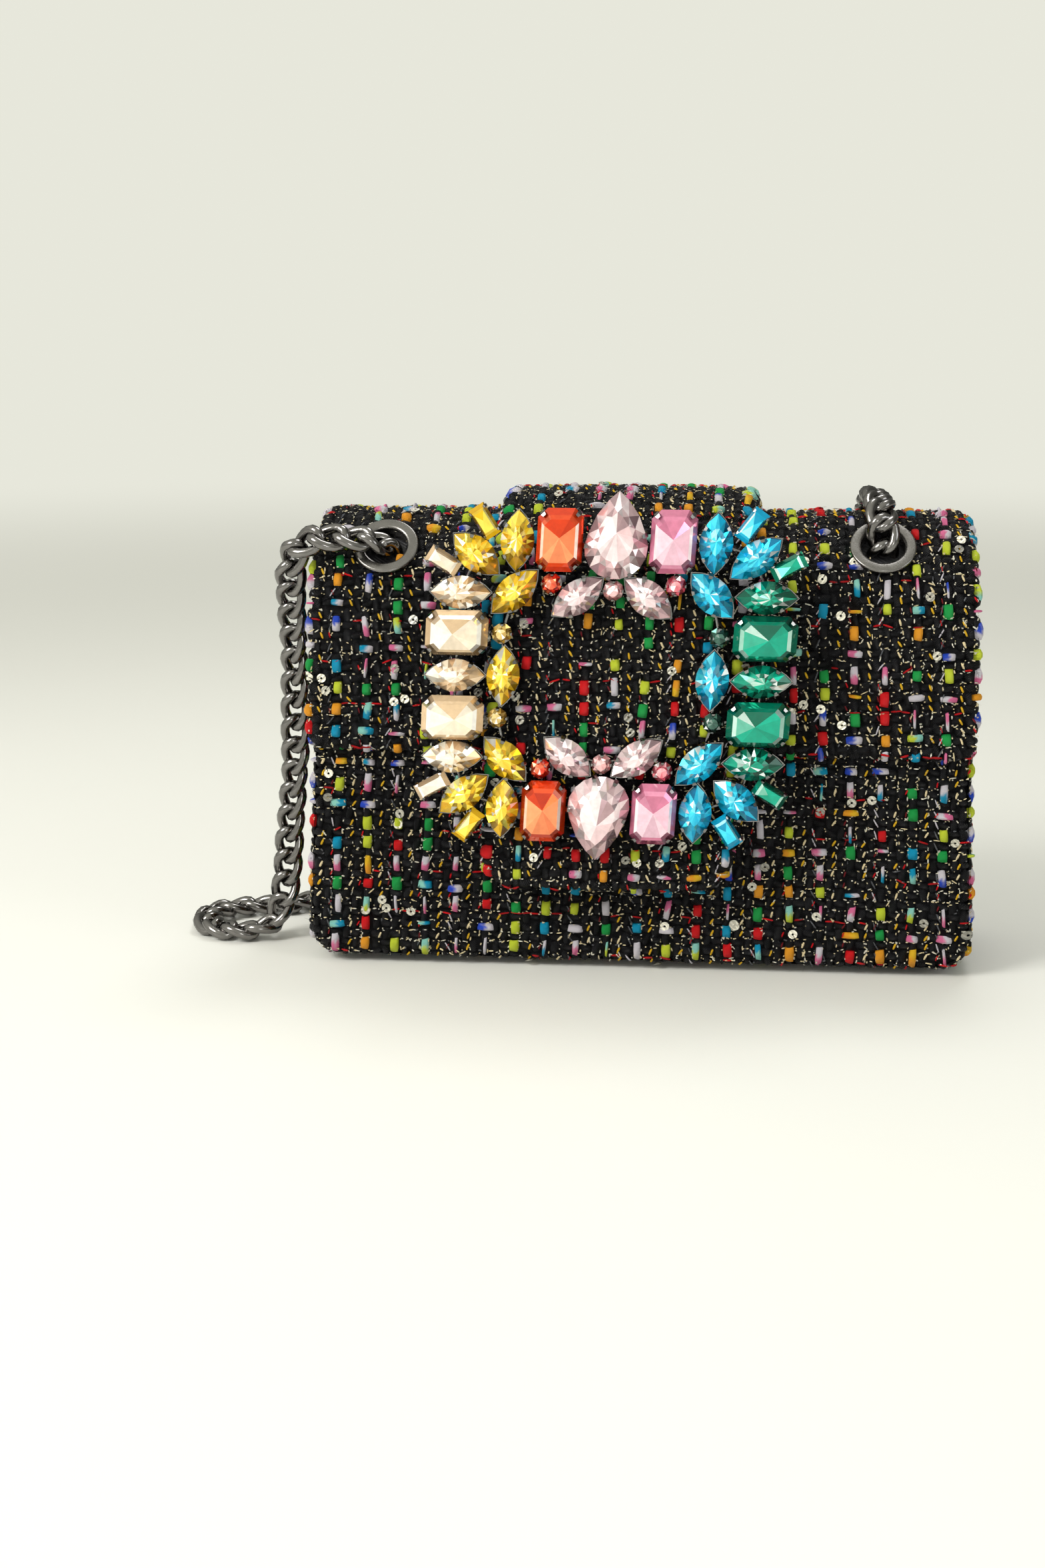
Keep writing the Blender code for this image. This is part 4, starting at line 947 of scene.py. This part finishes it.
# each stone: name, kind, place and turn on the ornament, colour, and the part of the setting that holds it
placed = []
for up, end in ((1, "top"), (-1, "bottom")):
    placed.append(("pear_" + end, "pear", (0, up * pearReach, 0, up), "lightPink", end))
    placed.append(("round_centre_" + end, "round", (0, up * ornament["centreRound"], 0, 1), "palePink", end))
    for across, where in ((-1, "left"), (1, "right")):
        for name, kind, x, z, turn, leftColour, rightColour in quarter:
            colour = leftColour if across < 0 else rightColour
            frameName = end if name in ("octagon_end", "navette_leaf", "round_red") else where
            spot = (across * x, up * z, across * up * turn, 1)
            placed.append((f"{name}_{end}_{where}", kind, spot, colour, frameName))
for across, where, outer, inner in ((-1, "left", "champagne", "yellow"), (1, "right", "green", "blue")):
    for name, turn, colour in (("middle", 90, outer), ("inside", 0, inner)):
        spot = (across * ornament[name + "Navette"], 0, turn, 1)
        placed.append((f"navette_{name}_{where}", "navette", spot, colour, where))

for name, kind, spot, colour, frameName in placed:
    batch, facing = gem(name, kind, spot, colour)
    piece = meshFrom("gem_" + name, [batch], [glass[colour]], True, facing)
    if "stone_" + name in frame["nodes"]:
        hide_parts("stone_" + name)
    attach(piece, "flap")
for frameName in ("top", "bottom", "left", "right"):
    mine = [p for p in placed if p[4] == frameName]
    batches = [make(kind, spot) for make in (cup, claws) for _, kind, spot, _, _ in mine]
    middles = [p[2][:2] for p in mine]
    batches += [wire(start, stop) for k, start in enumerate(middles) for stop in middles[:k]
                if math.dist(start, stop) < ornament["wireMost"]]
    piece = meshFrom("setting_" + frameName + "_metal", batches, [settingMetal], True)
    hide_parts("setting_" + frameName)
    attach(piece, "flap")
print("ornament", len(placed), "stones")


# eyelets
def turnedRing(profile, centre, axis, steps=56):
    # a closed profile of radius and height carried round the axis
    axis = axis / np.linalg.norm(axis)
    first = np.array([1.0, 0, 0])
    second = np.cross(axis, first)
    t = np.arange(steps) / steps * 2 * math.pi
    way = np.cos(t)[:, None] * first + np.sin(t)[:, None] * second
    p = np.array(profile + profile[:1], float)
    points = centre + p[:, 0][:, None, None] * way[None] + p[:, 1][:, None, None] * axis
    return layer(points, gridQuads(len(p), steps, 1, True))


def softRing(size):
    # a flat-topped ring whose edges are quarter rounds, with a barrel down through the flap
    r, q = size["edge"], size["throat"]
    t = np.radians(np.linspace(0, 90, 5))
    outer = [(size["outer"] - r + r * math.cos(k), size["rise"] - r + r * math.sin(k)) for k in t]
    inner = [(size["hole"] + q - q * math.sin(k), size["rise"] - q + q * math.cos(k)) for k in t]
    base = [(size["hole"], -size["deep"]), (size["hole"] + size["wall"], -size["deep"]),
            (size["hole"] + size["wall"], 0.1), (size["outer"] - 0.1, 0.1)]
    return outer + inner + base


for where, up in zip(("left", "right"), np.radians(eyelet["up"])):
    normal = np.array([0, -math.cos(up), math.sin(up)])
    low, high = cadBox("eyelet_" + where)
    centre = np.array([(low[0] + high[0]) / 2, 0, hingeZ]) + normal * shoulder
    piece = meshFrom("ring_" + where, [turnedRing(softRing(eyelet), centre, normal)], [eyeletMetal])
    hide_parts("eyelet_" + where)
    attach(piece, "flap")

# the flap's lining: one smooth sheet round the shoulder, carried on as a closed slab
liningLow, liningHigh = cadBox("flap_lining")
sheet = {"thick": 1.0, "half": 94.0, "rows": 70, "across": 24}
radius = -liningLow[1]
first = radius * math.acos(min(1.0, liningHigh[1] / radius))
s, u = np.meshgrid(np.linspace(first, math.pi * radius + hingeZ - liningLow[2], sheet["rows"]),
                   np.linspace(-1, 1, sheet["across"]), indexing="ij")
share = np.clip((s - math.pi / 2 * radius) / (s.max() - math.pi / 2 * radius), 0, 1)
x = u * (sheet["half"] + panel["flapFlare"] * share)
outside, inside = overShoulder(x, s, 0, radius), overShoulder(x, s, -sheet["thick"], radius)
ring = np.concatenate([outside, inside[:, ::-1]], 1)
n, last = ring.shape[1], (sheet["rows"] - 1) * ring.shape[1]
k = np.arange(sheet["across"] - 1)
ends = np.stack([k, k + 1, n - 2 - k, n - 1 - k], 1)
quads = np.concatenate([gridQuads(sheet["rows"], n, 1, True), ends, last + ends[:, ::-1]])
sheetUv = np.stack([np.concatenate([x, x[:, ::-1]], 1), np.concatenate([s, s], 1)], -1)
liningSheet = meshFrom("flapLiningSheet", [layer(ring, quads, 0, sheetUv)], [liningTwill])
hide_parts("flap_lining")
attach(liningSheet, "flap")
print("eyelets and lining")

finishes = {
    "lining": liningTwill, "slip_pocket": liningTwill, "tab_backing": tabTwill,
    "base_board": boardGrain, "magnet_socket": gunmetal, "magnet_stud": gunmetal,
    "magnet_socket_washer": plainSteel, "eyelet_washer_left": plainSteel, "eyelet_washer_right": plainSteel,
    "chain_toggle_left": gunmetal, "chain_toggle_right": gunmetal,
}
for name, material in finishes.items():
    node = frame["nodes"][name]
    node.data.materials.clear()
    node.data.materials.append(material)

# floor and light
room = {"wall": (0.80, 0.80, 0.71), "paper": (0.70, 0.70, 0.66), "fadeFrom": 0.55, "fadeTo": 1.7,
        "floorHalf": 9000, "floorCuts": 7, "floorDrop": 0.05, "domeRadius": 8800,
        "window": (-0.55, -0.45, 0.70), "darkSide": 0.22, "lightSide": 1.25}
paper, paperShader = newMaterial("floorPaper", Roughness=0.5)
place = addNode(paper, "TexCoord").outputs["Object"]
spread = addNode(paper, "TexNoise", (), Scale=3.0, Vector=place)
link(paper, twoTone(paper, spread.outputs[0], room["paper"], 0.98, 1.03), paperShader.inputs["Base Color"])
# away from the bag the paper turns into the room's own glow, so that no horizon shows
away = addNode(paper, "VectorMath", {"operation": "LENGTH"}, _0=place)
fade = addNode(paper, "MapRange", {"interpolation_type": "SMOOTHSTEP"},
               Value=away.outputs["Value"], From_Min=room["fadeFrom"], From_Max=room["fadeTo"])
glow = addNode(paper, "Emission", (), Color=(*room["wall"], 1), Strength=1.0)
both = addNode(paper, "MixShader", (), _0=fade.outputs[0], _1=paperShader.outputs[0],
               _2=glow.outputs[0])
link(paper, both.outputs[0], paper.node_tree.nodes["Material Output"].inputs["Surface"])
reach, cuts = room["floorHalf"], room["floorCuts"]
gx, gy = np.meshgrid(np.linspace(-reach, reach, cuts), np.linspace(-reach, reach, cuts), indexing="ij")
flat = np.stack([gx, gy, 0 * gx - room["floorDrop"]], -1)
meshFrom("floor", [layer(flat, gridQuads(cuts, cuts)[:, ::-1])], [paper])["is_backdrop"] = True

a, b = np.meshgrid(np.linspace(0, math.pi / 2, 9), np.arange(24) / 24 * 2 * math.pi, indexing="ij")
dome = room["domeRadius"] * np.stack([np.cos(a) * np.cos(b), np.cos(a) * np.sin(b), np.sin(a)], -1)
wallMaterial = newMaterial("wallGlow")[0]
glow = addNode(wallMaterial, "Emission", (), Color=(*room["wall"], 1), Strength=1.0)
link(wallMaterial, glow.outputs[0], wallMaterial.node_tree.nodes["Material Output"].inputs["Surface"])
wall = meshFrom("wall", [layer(dome, gridQuads(9, 24, 1, True)[:, ::-1])], [wallMaterial])
wall.visible_diffuse = wall.visible_glossy = wall.visible_shadow = False
wall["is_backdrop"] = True

# what the metal and the glass mirror: a room that is lighter towards the window's side
world = bpy.data.worlds.new("room")
world.use_nodes = True
way = addNode(world, "TexCoord").outputs["Generated"]
toWindow = addNode(world, "VectorMath", {"operation": "DOT_PRODUCT"}, _0=way, _1=room["window"])
light = addNode(world, "MapRange", {"interpolation_type": "SMOOTHSTEP"}, Value=toWindow.outputs["Value"],
                From_Min=-0.25, From_Max=0.95, To_Min=room["darkSide"], To_Max=room["lightSide"])
backdrop = world.node_tree.nodes["Background"]
link(world, light.outputs[0], backdrop.inputs[1])
backdrop.inputs[0].default_value = (*room["wall"], 1)
bpy.context.scene.world = world
bpy.context.scene.view_settings.view_transform = "Standard"
# each lamp: place, where it points, size, power and colour
lamps = {
    "window": ((-0.75, -0.60, 0.75), (0.0, 0.0, 0.06), 0.45, 11.0, (1.0, 0.98, 0.95)),
    "rightFill": ((0.80, -0.45, 0.45), (0.0, 0.0, 0.06), 0.40, 1.8, (0.95, 0.98, 1.0)),
    "topStrip": ((0.1, 0.25, 0.90), (0.0, 0.0, 0.08), 0.30, 2.5, (1.0, 1.0, 1.0)),
    "frontCard": ((0.15, -1.1, 0.30), (0.0, 0.0, 0.07), 0.20, 1.2, (1.0, 1.0, 1.0)),
}
for name, (place, aim, size, power, colour) in lamps.items():
    lamp = bpy.data.lights.new(name, "AREA")
    lamp.size, lamp.energy, lamp.color = size, power, colour
    obj = bpy.data.objects.new(name, lamp)
    bpy.context.scene.collection.objects.link(obj)
    obj.location = place
    way = np.array(place) - np.array(aim)
    obj.rotation_euler = (math.acos(way[2] / np.linalg.norm(way)), 0, math.atan2(way[0], -way[1]))
print("light and floor")

low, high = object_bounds()
